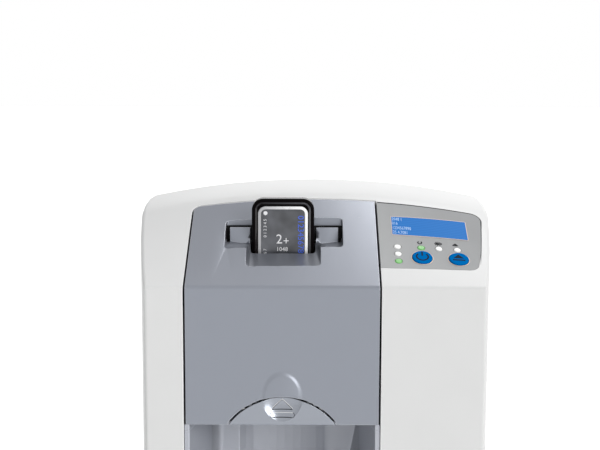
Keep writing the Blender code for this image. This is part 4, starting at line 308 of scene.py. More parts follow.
# Painted reflection: the chamfer's grey, paler to the right, stands in for the light it reflects.
chamfer_painted_reflection, tree, shader = finish("black_chamfer_painted_reflection", "4A494B", 0.15, IOR=1.5)
grain(tree, shader, 0.6, 0.001, 0.10, 0.16)
tint(tree, shader, share_along(tree, "X", -36, -6), "1E1A1B", "58585C")
phosphor, tree, shader = finish("phosphor_plate_film", "4A4A4E", 0.22, IOR=1.55)
grain(tree, shader, 0.8, 0.003, 0.16, 0.28)
CLOUD_SIZE = 1 / 60
clouds = noise(tree, object_place(tree), CLOUD_SIZE, 2.0)
tint(tree, shader, ramp(tree, clouds, 0.35, 0.68), "2E2F32", "62646A")
silver_foil_and_highlight, tree, shader = finish("silver_foil_and_painted_highlight", "F2F2F3", 0.3, Metallic=0.25)
grain(tree, shader, 0.4, 0.003, 0.2, 0.34)
# Painted highlight: the rim is grey on the left and white on the right.
tint(tree, shader, share_along(tree, "X", -34, -8), "B0B0B2", "FFFFFF")

# %% [markdown]
# ## Metals, rubber and what is inside
# These show in the rear view, from below and when the cover is open. Zinc-plated sheet has a flaky
# spangle of a few millimetres, ground pins have a fine turned line, and cast aluminium is dull.

# %% Finishes of the inner solids
black_satin = grained("black_abs_textured", "2A2B2E", 0.5, 0.4, 0.012, 0.45, 0.55, IOR=1.54)
dark_acetal = grained("black_acetal_machined", "35373B", 0.55, 0.4, 0.01, 0.50, 0.60, IOR=1.48)
sheet_steel, tree, shader = finish("zinc_plated_steel_sheet", "B5B8BC", 0.38, Metallic=1.0)
tint(tree, shader, grain(tree, shader, 1.2, 0.006, 0.30, 0.46), "A9ADB2", "BFC2C6")
turned_steel = grained("ground_steel", "C4C5C7", 0.25, 0.3, 0.004, 0.2, 0.32, Metallic=1.0)
aluminium = grained("diecast_aluminium", "B9BABC", 0.5, 0.8, 0.03, 0.45, 0.6, Metallic=1.0)
rubber = grained("moulded_rubber", "26272A", 0.75, 0.5, 0.03, 0.7, 0.8, IOR=1.52)
filter_glass = grained("dark_filter_glass", "20242E", 0.06, 1.0, 0.001, 0.04, 0.09, IOR=1.52)
board, tree, shader = finish("glass_epoxy_circuit_board", "1E5A38", 0.35, IOR=1.55)
tracks = {"Vector": object_place(tree), "Scale": 120.0, "Mortar Size": 0.04}
tint(tree, shader, add(tree, "ShaderNodeTexBrick", tracks).outputs["Fac"], "1E5A38", "2B7048")
dust_cloth, tree, shader = finish("black_woven_dust_cloth", "151618", 0.85, IOR=1.5)
WEAVE = 260.0
weave = combine(tree, "MULTIPLY", stripes(tree, "X", WEAVE), stripes(tree, "Z", WEAVE))
tint(tree, shader, weave, "0C0D0E", "2A2B2E")

# %% Every solid gets its finish
FINISHES = {
    white_abs: "housing_shell rear_cover base_plate",
    grey_lacquer: "front_cover",
    bay_lacquer: "bay_liner output_tray",
    lever_lacquer: "release_lever",
    foil: "control_panel",
    display_film: "display_window",
    frosted: "status_light_column_1 status_light_column_2 status_light_row_2 status_light_row_3 erase_lamp",
    green_glow: "status_light_column_3 status_light_row_1",
    blue_key: "power_button eject_button",
    black_gloss: "plate_holder",
    phosphor: "imaging_plate",
    rubber: "foot_front_left foot_front_right foot_rear_left foot_rear_right tray_pad "
    "transport_belt_left transport_belt_right",
    black_satin: "power_inlet network_socket display_module photomultiplier",
    dark_acetal: "scan_guide roller_gear motor_pinion spinner_motor transport_motor",
    sheet_steel: "chassis optics_frame lever_spring",
    turned_steel: "cover_hinge_pin_left cover_hinge_pin_right lever_pin rear_screw_1 rear_screw_2 "
    "rear_screw_3 rear_screw_4 upper_belt_roller lower_belt_roller",
    aluminium: "prism_spinner laser_module",
    filter_glass: "light_collector",
    board: "control_board power_board key_board",
}
for material, names in FINISHES.items():
    for name in names.split():
        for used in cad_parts[name].material_slots:
            used.material = material
unset = set(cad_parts) - set(" ".join(FINISHES.values()).split())
print("solids without a finish:", sorted(unset))

# %% [markdown]
# ## Smooth skins from their own formulas
# A solid's mesh is flat triangles, and on the wide arch of the housing their shading shows as faint
# streaks. The arch, the slope and its bend, the low oval on the cover, the tongues of its slot and the
# hollow of the lever all have a formula, so each corner of a face on them takes its normal from the slope
# of that formula. All other faces keep normals that their largest neighbours lead.


# %% Heights of the skin, the oval and the hollow
CREST, CREST_Y = 269.7, 8.0
CREASE_Y, CREASE_DROP = -38.0, 2.1
CREASE_BLEND, CREASE_REACH = 3.0, 9.0
REAR_RADIUS, ARCH_RADIUS = 368.0, 530.0
BEND, BEND_DROP, BEND_DEPTH = 221.4, 1.4, 1.8
THUMB = 155.9
OVAL_HALF, OVAL_HEIGHT = (12.45, 15.6), 0.9
OVAL_START, OVAL_END = 0.74, 0.98
HOLLOW_HALF, HOLLOW_CENTRE = (15.56, 7.5, 19.5), FACE - 4.5


def dome(x, y):
    """Arched top: the crest less a parabola to the front or back and the drop of the arch's circle."""
    behind = y - CREST_Y
    front_fall = CREASE_DROP * (behind / (CREST_Y - CREASE_Y)) ** 2
    fall = np.where(behind < 0, front_fall, behind**2 / (2 * REAR_RADIUS))
    return CREST - fall - (ARCH_RADIUS - np.sqrt(ARCH_RADIUS**2 - x**2))


def slope(x, y):
    """Front slope: straight in y from the bend at the front face up to the dome's height at the crease."""
    return BEND + (y - FACE) / (CREASE_Y - FACE) * (dome(x, CREASE_Y) - BEND)


def skin(x, y):
    """Slope in front of the crease and dome behind it, joined by a parabola where both are close."""
    apart = abs(slope(x, y) - dome(x, y))
    near = np.where(abs(y - CREASE_Y) > CREASE_REACH, 0, np.maximum(0, CREASE_BLEND - apart) / CREASE_BLEND)
    return np.where(y < CREASE_Y, slope(x, y), dome(x, y)) - CREASE_BLEND / 4 * near**2


def oval(x, z):
    """Low oval above the lever: level in the middle, falling by a smooth step towards its border."""
    radius = np.hypot((x - MIDDLE) / OVAL_HALF[0], (z - THUMB) / OVAL_HALF[1])
    share = np.clip((radius - OVAL_START) / (OVAL_END - OVAL_START), 0, 1)
    return OVAL_HEIGHT * (1 - share**2 * (3 - 2 * share))


def hollow(u, v):
    """Depth y of the lever's hollow, the back of an ellipsoid whose centre lies in front of the face."""
    inside = 1 - (u / HOLLOW_HALF[0]) ** 2 - (v / HOLLOW_HALF[2]) ** 2
    return HOLLOW_CENTRE + HOLLOW_HALF[1] * np.sqrt(np.maximum(inside, 0.01))


def unit(x, y, z):
    """Vectors of length one."""
    joined = np.stack(np.broadcast_arrays(x, y, z), axis=-1)
    return joined / np.linalg.norm(joined, axis=-1, keepdims=True)


def gradient(height, a, b, step=0.1):
    """Slopes of a height over its two parameters, from points a step to both sides."""
    first = (height(a + step, b) - height(a - step, b)) / (2 * step)
    second = (height(a, b + step) - height(a, b - step)) / (2 * step)
    return first, second


# %% A merged copy with those normals
def settle(piece, body, slot, *replaced):
    """Lets a piece ride on its body and hides the solids it stands for. The slot is not used."""
    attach(piece, body)
    if replaced:
        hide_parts(*replaced)
    print(piece.name, len(piece.data.polygons), "faces on", body)


def merged_copy(node, angle, cut=None):
    """A copy of a solid with its doubles merged and smooth between faces that meet at less than the angle.

    A cut slices all faces at that height in mm, so that they can take two materials.
    """
    shape = bmesh.new()
    shape.from_mesh(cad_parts[node].data)
    bmesh.ops.remove_doubles(shape, verts=shape.verts, dist=0.002 * MM)
    if cut:
        whole = shape.verts[:] + shape.edges[:] + shape.faces[:]
        level = (0, 0, cut * MM)
        bmesh.ops.bisect_plane(shape, geom=whole, dist=0.001 * MM, plane_co=level, plane_no=(0, 0, 1))
    mesh = bpy.data.meshes.new(node + "_rough")
    shape.to_mesh(mesh)
    shape.free()
    mesh.shade_smooth()
    mesh.set_sharp_from_angle(angle=math.radians(angle))
    rough = bpy.data.objects.new(node + "_rough", mesh)
    bpy.context.scene.collection.objects.link(rough)
    rough.modifiers.new("large faces lead", "WEIGHTED_NORMAL").keep_sharp = True
    ready = rough.evaluated_get(bpy.context.evaluated_depsgraph_get())
    smooth = bpy.data.meshes.new_from_object(ready)
    bpy.data.objects.remove(rough)
    smooth.name = node + "_dressed"
    piece = bpy.data.objects.new(smooth.name, smooth)
    bpy.context.scene.collection.objects.link(piece)
    return piece


def read(collection, name, width):
    """One property of all items of a mesh, as rows of the given width."""
    values = np.empty(width * len(collection))
    collection.foreach_get(name, values)
    return values.reshape(-1, width)


def bend_normals(mesh, rules):
    """Replaces corner normals by rules, each for some of the faces.

    A rule takes the corners' places, the middles of their faces in mm and the faces' flat normals. It gives
    new normals, and where they count.
    """
    loops = read(mesh.polygons, "loop_total", 1)[:, 0].astype(int)
    owner = np.repeat(np.arange(len(mesh.polygons)), loops)
    vertex = read(mesh.loops, "vertex_index", 1)[:, 0].astype(int)
    place = read(mesh.vertices, "co", 3)[vertex] / MM
    middle = read(mesh.polygons, "center", 3)[owner] / MM
    flat = read(mesh.polygons, "normal", 3)[owner]
    normals = read(mesh.corner_normals, "vector", 3)
    for rule in rules:
        made, where = rule(place, middle, flat)
        normals = np.where(where[:, None], made, normals)
    mesh.normals_split_custom_set(normals.tolist())


def between(value, low, high):
    """True where a value lies between both bounds."""
    return (value > low) & (value < high)


# %% Normals of the arched top, the slope and its bend
SKIN_TOLERANCE, SAME_WAY = 0.3, 0.992
BEND_START, BEND_END = 219.0, FACE + 1.85


def on_skin(place, middle, flat):
    """Corners close to the arched top and slope whose face looks the same way, apart from the bend."""
    x, y, z = place.T
    across, along = gradient(skin, x, y)
    made = unit(-across, -along, 1.0)
    close = abs(z - skin(x, y)) < SKIN_TOLERANCE
    return made, close & ((made * flat).sum(axis=1) > SAME_WAY) & (y > FACE + 1.7)


def on_bend(place, middle, flat):
    """Corners on the rounded bend: an ellipse's quarter turns the slope's normal down to the front."""
    x, y, z = place.T
    left_to_go = 1 - np.clip((y - FACE) / BEND_DEPTH, 0, 1)
    across, along = gradient(slope, x, y)
    steep = BEND_DROP / BEND_DEPTH * left_to_go / np.sqrt(np.maximum(1 - left_to_go**2, 1e-6))
    strip = between(middle[:, 1], FACE + 0.01, BEND_END) & (middle[:, 2] > BEND_START)
    return unit(-across, -along - steep, 1.0), strip & (flat[:, 2] > 0.1) & (abs(flat[:, 0]) < 0.3)


# %% Normals of the oval, the tongues and the hollow
TONGUE_Y, TONGUE_Z = (-76.0, -64.0), (236.0, 249.6)
LEFT_TONGUE, RIGHT_TONGUE = (-56.0, -41.5), (2.8, 17.2)
LEFT_END, RIGHT_END, TONGUE_RUN = -53.0, 14.5, 13.0
HOLLOW_BORDER = (12.6, 15.8)


def on_front(place, middle, flat):
    """Corners on the cover's upright face with its oval."""
    x, y, z = place.T
    across, up = gradient(oval, x, z)
    upright_face = (flat[:, 1] < -0.85) & (abs(flat[:, 0]) < 0.5)
    return unit(-across, -1.0, -up), upright_face & (middle[:, 1] < FACE + 0.8) & (middle[:, 2] < BEND_START)


def on_tongues(place, middle, flat):
    """Corners on the front of the two tongues, which lean back more and more towards the plate."""
    x, y, z = middle.T
    left = between(x, *LEFT_TONGUE)
    tongues = (left | between(x, *RIGHT_TONGUE)) & between(y, *TONGUE_Y) & between(z, *TONGUE_Z)
    inward = np.where(left, place[:, 0] - LEFT_END, RIGHT_END - place[:, 0]) / TONGUE_RUN
    made = unit(np.where(left, -0.06, 0.1 * (1 - inward)), -1.0, 0.07 + 0.45 * inward)
    return made, tongues & (flat[:, 1] < -0.3)


def in_lever(place, middle, flat):
    """Corners in the lever's hollow."""
    x, y, z = place.T
    u, v = x - MIDDLE, z - THUMB
    across, up = gradient(hollow, u, v, 0.05)
    within = (u / HOLLOW_BORDER[0]) ** 2 + (v / HOLLOW_BORDER[1]) ** 2 < 1
    return unit(across, -1.0, up), within & (flat[:, 1] < -0.2) & (middle[:, 1] > FACE + 0.03)


# %% [markdown]
# ## Cover with a dark slot
# The cover's slot walls are painted black as painted shade for the dark inside of the slot, so only a thin
# black line shows above the grey tongues. The copy is cut level with the slot's upper edge, and the faces of
# the slot's walls below that cut get the black material. The lever, the housing and the bay are copied too,
# so that their rounded faces shade smoothly.

# %% Cover, lever, housing and bay
SLOT_TOP = 249.85
SLOT_X, SLOT_Y, SLOT_Z = (-56.0, 17.0), (-64.35, -59.5), (222.0, SLOT_TOP)
TONGUES_END = -62.5
cover = merged_copy("front_cover", 25, cut=SLOT_TOP)
cover.data.materials.clear()
cover.data.materials.append(grey_lacquer)
cover.data.materials.append(slot_painted_shade)
x, y, z = (read(cover.data.polygons, "center", 3) / MM).T
on_tongue = (read(cover.data.polygons, "normal", 3)[:, 1] < -0.5) & (y < TONGUES_END)
in_slot = between(x, *SLOT_X) & between(y, *SLOT_Y) & between(z, *SLOT_Z)
# The slot's walls below the cut take the black of painted shade.
cover.data.polygons.foreach_set("material_index", (in_slot & ~on_tongue).astype(np.int32))
bend_normals(cover.data, [on_skin, on_bend, on_front, on_tongues])
settle(cover, "cover", "grey_plastic", "front_cover")

for node, material, angle, rules, body, slot in (
    ("release_lever", lever_lacquer, 20, [in_lever], "lever", "silver_plastic"),
    ("housing_shell", white_abs, 25, [on_skin, on_bend], "housing", "white_plastic"),
    ("bay_liner", bay_lacquer, 16, [], "housing", "grey_plastic"),
):
    piece = merged_copy(node, angle)
    piece.data.materials.clear()
    piece.data.materials.append(material)
    piece.data.polygons.foreach_set("material_index", np.zeros(len(piece.data.polygons), np.int32))
    bend_normals(piece.data, rules)
    settle(piece, body, slot, node)

# %% [markdown]
# ## Grids of points
# All new pieces are surfaces on a grid: rows of points by columns, worked out at once as arrays. The last
# column joins the first, so every row is a closed ring. A row whose points fall together is a pole, and
# merging doubles closes it.


# %% From grids to a piece
def ring_faces(rows, columns, start):
    """Quads of a grid whose points count up row by row from start; the last column joins the first."""
    index = start + np.arange(rows * columns).reshape(rows, columns)
    index = np.column_stack([index, index[:, 0]])
    corners = [index[:-1, :-1], index[:-1, 1:], index[1:, 1:], index[1:, :-1]]
    return np.stack(corners, axis=-1).reshape(-1, 4)


def piece_of(name, grids, material):
    """One closed mesh from a list of grids in millimetres, poles merged and faces turned outward."""
    sizes = [grid.shape[0] * grid.shape[1] for grid in grids]
    starts = np.cumsum([0, *sizes[:-1]])
    faces = [ring_faces(*grid.shape[:2], start) for grid, start in zip(grids, starts)]
    points = np.concatenate([grid.reshape(-1, 3) for grid in grids]) * MM
    mesh = bpy.data.meshes.new(name)
    mesh.from_pydata(points.tolist(), [], np.concatenate(faces).tolist())
    shape = bmesh.new()
    shape.from_mesh(mesh)
    bmesh.ops.remove_doubles(shape, verts=shape.verts, dist=0.001 * MM)
    bmesh.ops.recalc_face_normals(shape, faces=shape.faces)
    shape.to_mesh(mesh)
    shape.free()
    mesh.materials.append(material)
    mesh.shade_smooth()
    mesh.set_sharp_from_angle(angle=math.radians(35))
    piece = bpy.data.objects.new(name, mesh)
    bpy.context.scene.collection.objects.link(piece)
    return piece


# %% [markdown]
# ## Places on the object
# A shape is first drawn flat, with u to the right, v upward and w towards the eye. A place function then
# lays it on the object: upright in front of a wall, on the arched slope of the panel, or in the hollow of
# the lever. So one drawing of a line or a figure serves everywhere.


# %% Upright, on the slope and in the hollow
def upright(x, y, z):
    """Lays a drawing on an upright plane: u goes along x, v along z, and w towards the front."""

    def lay(u, v, w):
        u, v, w = np.broadcast_arrays(u, v, w)
        return np.stack([x + u, y - w, z + v], axis=-1)

    return lay


def on_slope(x, y):
    """Lays a drawing on the slope around a point in plan.

    A step along the slope is shortened to plan by its length there, and w runs along the normal.
    """
    rise_x = slope(x + 0.5, y) - slope(x - 0.5, y)
    rise_y = slope(x, y + 0.5) - slope(x, y - 0.5)
    normal = np.array([-rise_x, -rise_y, 1.0]) / math.hypot(rise_x, rise_y, 1)

    def lay(u, v, w):
        u, v, w = np.broadcast_arrays(u, v, w)
        across, along = x + u / math.hypot(1, rise_x), y + v / math.hypot(1, rise_y)
        return np.stack([across, along, slope(across, along)], axis=-1) + w[..., None] * normal

    return lay


def in_hollow(u, v, w):
    """Lays a drawing in the lever's hollow."""
    u, v, w = np.broadcast_arrays(u, v, w)
    return np.stack([MIDDLE + u, np.maximum(hollow(u, v), FACE) - w, THUMB + v], axis=-1)


# %% [markdown]
# ## Rounded bodies and lines
# The holder, the plate, its rim and the dust cloth are all the same idea: a rounded rectangle, drawn in
# step by step while its depth changes. Its profile lists pairs of inset and depth in mm. A line is the
# simplest body: a path with a width to both sides.


# %% Outline, stepped body and line
def outline(half_width, half_height, top, foot, count=12):
    """Rounded rectangle as points: each corner's centre plus its radius times a quarter's cosine and sine."""
    corner = np.arange(4)[:, None]
    angle = (corner + np.linspace(0, 1, count)[None, :]) * np.pi / 2
    radius = np.where(corner < 2, top, foot)
    side = np.where((corner == 0) | (corner == 3), 1, -1)
    level = np.where(corner < 2, 1, -1)
    u = side * (half_width - radius) + radius * np.cos(angle)
    v = level * (half_height - radius) + radius * np.sin(angle)
    return np.stack([u.ravel(), v.ravel()], axis=-1)


LEAST_RADIUS = 0.3


def stepped(lay, half, radii, profile, poles=True):
    """Rows of the outline, each drawn in by its inset and set at its depth; poles close front and back."""
    rings = []
    for inset, _ in profile:
        top, foot = (max(radius - inset, LEAST_RADIUS) for radius in radii)
        rings.append(outline(half[0] - inset, half[1] - inset, top, foot))
    flat = np.stack(rings)
    if poles:
        flat[[0, -1]] = 0
    depth = np.array([depth for _, depth in profile])[:, None]
    return lay(flat[..., 0], flat[..., 1], depth)


def line(lay, path, width, low=0.0, high=0.06):
    """A thin bar along a path: half the width to both sides along the normal, ends closed on the path."""
    path = np.asarray(path, float)
    run = np.gradient(path, axis=0)
    side = np.column_stack([-run[:, 1], run[:, 0]]) / np.linalg.norm(run, axis=1)[:, None]
    half = np.broadcast_to(width, len(path))[:, None] / 2
    left, right = path + side * half, path - side * half
    flat = np.stack([left, right, right, left], axis=1)
    depth = np.broadcast_to([high, high, low, low], flat.shape[:2]).copy()
    first, last = np.repeat(path[:1, None], 4, axis=1), np.repeat(path[-1:, None], 4, axis=1)
    flat = np.concatenate([first, flat, last])
    middle = np.full((1, 4), (low + high) / 2)
    return lay(flat[..., 0], flat[..., 1], np.concatenate([middle, depth, middle]))


def arc(radius, start, end, count=24, centre=(0.0, 0.0)):
    """Points on a circle from one angle to the other, in degrees."""
    angle = np.radians(np.linspace(start, end, count))
    return np.column_stack([centre[0] + radius * np.cos(angle), centre[1] + radius * np.sin(angle)])


def straight(start, end, count=8):
    """Points evenly spaced from start to end."""
    return np.linspace(start, end, count)


# %% [markdown]
# ## The holder and the plate
# The holder has a fully rounded front edge and a polished chamfer that leads down to the plate. The chamfer
# shows as a thinner grey ring inside the black frame, a painted reflection.

# %% Plate holder
HOLDER_HALF, HOLDER_RADII = (19.2, 26.0), (7.0, 2.3)
FRONT_ROUND, HOLDER_DEPTH = 1.6, 9.0
HOLDER_BACK = (-19.9, -66.0, 242.4)
back_of_holder = upright(*HOLDER_BACK)
bend = np.radians(np.linspace(0, 90, 7))
rounded = zip(FRONT_ROUND * (1 - np.cos(bend)), HOLDER_DEPTH - FRONT_ROUND + FRONT_ROUND * np.sin(bend))
profile = [(0, 0), (0.7, 0), (0.2, 0.2), (0, 0.7), *rounded]
profile += [(2.1, 9.0), (2.25, 8.94), (3.3, 8.3), (3.42, 8.2), (3.42, 7.2), (0, 7.2)]
rows = stepped(back_of_holder, HOLDER_HALF, HOLDER_RADII, profile)
settle(piece_of("holder_body", [rows], black_gloss), "holder", "black_plastic", "plate_holder")
profile = [(2.15, 8.9), (2.3, 9.0), (3.2, 8.4), (3.38, 8.2), (3.1, 7.9), (2.15, 8.9)]
rows = stepped(back_of_holder, HOLDER_HALF, HOLDER_RADII, profile, poles=False)
settle(piece_of("holder_chamfer", [rows], chamfer_painted_reflection), "holder", "black_plastic")

# %% Plate film and silver rim
PLATE_X, PLATE_BACK, PLATE_Z = -19.95, -73.4, 243.3
PLATE_HALF, PLATE_RADII, FILM = (15.35, 20.4), (4.8, 4.8), 1.08
back_of_plate = upright(PLATE_X, PLATE_BACK, PLATE_Z)
profile = [(0, 0.05), (1.9, 0.05), (1.9, 1.0), (2.2, 1.06), (4.0, FILM), (0, FILM)]
rows = stepped(back_of_plate, PLATE_HALF, PLATE_RADII, profile)
settle(piece_of("plate_film", [rows], phosphor), "plate", "plate_film", "imaging_plate")
profile = [(0.1, 0.0), (0.0, 0.2), (0.0, 1.0), (0.15, 1.22), (0.45, 1.3), (1.45, 1.3), (1.75, 1.24)]
profile += [(1.88, 1.1), (1.88, 0.0), (0.1, 0.0)]
rows = stepped(back_of_plate, PLATE_HALF, PLATE_RADII, profile, poles=False)
settle(piece_of("plate_rim", [rows], silver_foil_and_highlight), "plate", "plate_film", "imaging_plate")

# %% [markdown]
# ## Figures
# Figures start as Blender text, are turned into a mesh at once, and only then bent onto their place. The
# plate's size sign, its scales and the rows on the display are plain numbers.

# %% From text to printed figures
TEXT_HALF = 0.5


def figures(name, lay, rows, material, low=0.0, high=0.05, narrow=1.0):
    """Numbers as thin solids. A row is its text, size, place u and v, and its turn in degrees."""
    shape = bmesh.new()
    for text, size, u, v, turn in rows:
        curve = bpy.data.curves.new("row", "FONT")
        curve.body = text
        curve.size = size
        curve.extrude = TEXT_HALF
        curve.resolution_u = 3
        written = bpy.data.objects.new("row", curve)
        mesh = bpy.data.meshes.new_from_object(written)
        across, up, depth = read(mesh.vertices, "co", 3).T
        across = across * narrow
        c, s = math.cos(math.radians(turn)), math.sin(math.radians(turn))
        height = low + (depth + TEXT_HALF) * (high - low)
        placed = lay(u + across * c - up * s, v + across * s + up * c, height)
        mesh.vertices.foreach_set("co", (placed * MM).ravel())
        shape.from_mesh(mesh)
        bpy.data.objects.remove(written)
        bpy.data.curves.remove(curve)
        bpy.data.meshes.remove(mesh)
    bmesh.ops.remove_doubles(shape, verts=shape.verts, dist=0.0005 * MM)
    bmesh.ops.recalc_face_normals(shape, faces=shape.faces)
    mesh = bpy.data.meshes.new(name)
    shape.to_mesh(mesh)
    shape.free()
    mesh.materials.append(material)
    piece = bpy.data.objects.new(name, mesh)
    bpy.context.scene.collection.objects.link(piece)
    return piece


plate_front = upright(PLATE_X, PLATE_BACK - FILM, PLATE_Z)
size_sign = [("2", 8.2, -4.3, -2.6, 0), ("+", 6.8, 0.0, -3.3, 0), ("1048", 3.6, -4.1, -7.3, 0)]
left_scale = [("0 1 2 3 4 5", 2.6, -10.1, 1.2, 90), ("6 7", 2.6, -10.1, -9.2, 90)]
right_scale = [("0123456789", 5.2, 9.3, 14.8, -90)]
for name, rows, ink in (
    ("plate_size_sign", size_sign, white_ink),
    ("plate_left_scale", left_scale, white_ink),
    ("plate_right_scale", right_scale, blue_ink),
):
    settle(figures(name, plate_front, rows, ink), "plate", "plate_film", "imaging_plate")

# %% Round mark on the plate
MARK_PLACE, MARK_RADIUS, PRINT_HEIGHT = (-10.7, 16.2), 1.25, 0.05
ring = [(0.0, 0.0), (MARK_RADIUS, 0.0), (MARK_RADIUS, PRINT_HEIGHT), (0.0, PRINT_HEIGHT)]
angle = np.linspace(0, 2 * np.pi, 24, endpoint=False)[None, :]
radius, depth = np.array(ring).T[:, :, None]
dot = plate_front(MARK_PLACE[0] + radius * np.cos(angle), MARK_PLACE[1] + radius * np.sin(angle), depth)
settle(piece_of("plate_round_mark", [dot], white_ink), "plate", "plate_film", "imaging_plate")

# %% [markdown]
# ## Display
# The window is a film that follows the arch of the slope. A narrow printed wedge levels its upper edge, a
# pale copper line frames it, and four rows of figures stand at its left.

# %% Window film, frame line and figures
DISPLAY_PLACE, FILM_HALF, FILM_HEIGHT = (70.8, -63.5), 23.5, 20.4
STEPS = 24
display = on_slope(*DISPLAY_PLACE)
across = straight((-FILM_HALF, 0.0), (FILM_HALF, 0.0), STEPS)
window = piece_of("display_film", [line(display, across, FILM_HEIGHT, -0.9, 0.17)], display_film)
settle(window, "housing", "display_blue", "display_window")
above = straight((-23.9, 9.1), (23.9, 10.3), STEPS)
wedge = [line(display, above, np.linspace(2.8, 0.3, STEPS), 0.12, 0.22)]
settle(piece_of("display_mask", wedge, foil), "housing", "silver_film")
corners = [(-23.6, 7.8), (23.6, 10.2), (23.6, -10.5), (-23.6, -10.5), (-23.6, 7.8)]
sides = [line(display, straight(a, b, STEPS), 0.36, 0.14, 0.24) for a, b in zip(corners, corners[1:])]
settle(piece_of("display_frame_line", sides, peach_line), "housing", "silver_film")
figure_rows = [
    ("2048 1", 4.2, -23.1, 4.0, 0),
    ("016", 4.2, -23.1, -0.3, 0),
    ("1234567890", 4.2, -23.2, -4.8, 0),
    ("25 4.7081", 4.2, -23.0, -9.2, 0),
]
rows_on_film = figures("display_figures", display, figure_rows, figure_ink, 0.19, 0.24, narrow=0.56)
settle(rows_on_film, "housing", "display_blue")

# %% [markdown]
# ## Keys, signs and frame lines
# Each key wears a printed sign: a broken ring with a bar for power, a triangle over a bar for eject. A
# pale line rings each key, and three small signs stand above the lights.


# %% Signs on the keys
KEYS_X, KEYS_Y, KEY_RISE = (64.4, 86.4), -91.8, 1.13


def on_key(x, y):
    """Lays a drawing on a key's flat top, proud of the slope along the normal at the key's middle."""
    base = on_slope(x, y)
    middle = base(0.0, 0.0, 0.0)
    over, right, up = (base(*step) - middle for step in ((0.0, 0.0, 1.0), (0.5, 0.0, 0.0), (0.0, 0.5, 0.0)))

    def lay(u, v, w):
        u, v, w = np.broadcast_arrays(u, v, w)
        return middle + 2 * u[..., None] * right + 2 * v[..., None] * up + (w + KEY_RISE)[..., None] * over

    return lay


power, eject = (on_key(x, KEYS_Y) for x in KEYS_X)
power_sign = [line(power, arc(3.5, 45, -225, 36), 0.9), line(power, straight((0, 4.6), (0, 0.8)), 0.9)]
settle(piece_of("power_sign", power_sign, key_ink), "power_key", "display_black")
eject_sign = [
    line(eject, straight((-0.1, 3.7), (-0.1, 0.0)), np.linspace(0.05, 6.4, 8)),
    line(eject, straight((-3.7, -1.8), (3.7, -1.8)), 1.1),
]
settle(piece_of("eject_sign", eject_sign, key_ink), "eject_key", "display_black")

# %% Rings round the keys and signs above the lights
key_rings = [line(on_slope(x, KEYS_Y), arc(6.55, 0, 360, 64), 0.45, 0.08, 0.2) for x in KEYS_X]
settle(piece_of("key_frame_lines", key_rings, peach_line), "housing", "silver_film")
SIGNS_X, SIGNS_Y = (63.9, 74.6, 85.6), -78.5
RAY_X, RAY_Y = 1.7, 1.9
ready, spark, out = (on_slope(x, SIGNS_Y) for x in SIGNS_X)
strokes = [(ready, arc(1.2, 130, 410, 20), 0.55)]
for turn in np.radians([0, 45, 90, 135]):
    tip = np.array([RAY_X * math.cos(turn), RAY_Y * math.sin(turn)])
    strokes.append((spark, straight(-tip, tip), 0.36))
strokes += [(spark, straight((1.5, end), (2.8, 0.0)), 0.36) for end in (1.3, -1.3)]
strokes.append((out, straight((0, 1.5), (0, 0.1)), np.linspace(0.05, 2.8, 8)))
strokes.append((out, straight((-1.7, -0.6), (1.7, -0.6)), 0.45))
signs = [line(lay, path, width, 0.08, 0.3) for lay, path, width in strokes]
settle(piece_of("panel_signs", signs, dark_ink_and_shade), "housing", "display_black")

# %% [markdown]
# ## Shadow gap of the panel
# The foil lies in a shallow bed whose upper and right wall throw a thin dark line on it. The line runs
# along the bed's edge, round the corner of 6 mm.


# %% Dark line along the foil's upper and right edge
FLARE, FLARE_START = 12.0, 15.0
BED_TOP, BED_LEFT, BED_RIGHT, BED_FRONT = -44.4, 39.4, 98.6, -96.0
BED_TURN, TURN_INSET, BED_RADIUS, BED_MARGIN = -50.5, 11.5, 6.1, 5.35


def half_width(y):
    """Half the housing's width at a depth: full behind, less the flare times the squared way to the front."""
    return HALF_WIDTH - FLARE * (np.maximum(0, FLARE_START - y) / (FLARE_START - FACE)) ** 2


def in_plan(u, v, w):
    """Lays a path given in plan on the slope."""
    u, v, w = np.broadcast_arrays(u, v, w)
    return np.stack([u, v, slope(u, v) + w], axis=-1)


right_edge = np.linspace(BED_TURN, BED_FRONT, 24)
turn_x = half_width(BED_TURN) - TURN_INSET
bed = [
    straight((BED_LEFT, BED_TOP), (BED_RIGHT, BED_TOP), 30),
    arc(BED_RADIUS, 88, 2, 12, (turn_x, BED_TURN)),
    np.column_stack([half_width(right_edge) - BED_MARGIN, right_edge]),
]
bed = np.concatenate(bed)
width = np.linspace(1, 0, len(bed)) ** 0.4 * 0.75
shadow = piece_of("panel_shadow_line", [line(in_plan, bed, width, 0.05, 0.14)], dark_ink_and_shade)
settle(shadow, "housing", "display_black")

# %% [markdown]
# ## Embossed sign on the lever
# A raised triangle over a rounded bar tells where to press. The lines follow the hollow: a painted highlight
# on the upper edges and painted shade on the lower ones stand in for an embossed line that is lit from above.

# %% Lines in the hollow
SUNK = -0.05
# Painted highlight: bright lines along the upper edges.
bright = [
    (straight((0, -2.4), (-6.2, -8.0), 14), 0.3, 0.2),
    (straight((0, -2.4), (6.2, -8.0), 14), 0.3, 0.2),
    (straight((-6.3, -10.5), (6.4, -10.5), 14), 0.25, 0.15),
]
raised = [line(in_hollow, path, width, SUNK, high) for path, width, high in bright]
settle(piece_of("lever_sign_painted_highlight", raised, silver_foil_and_highlight), "lever", "silver_plastic")
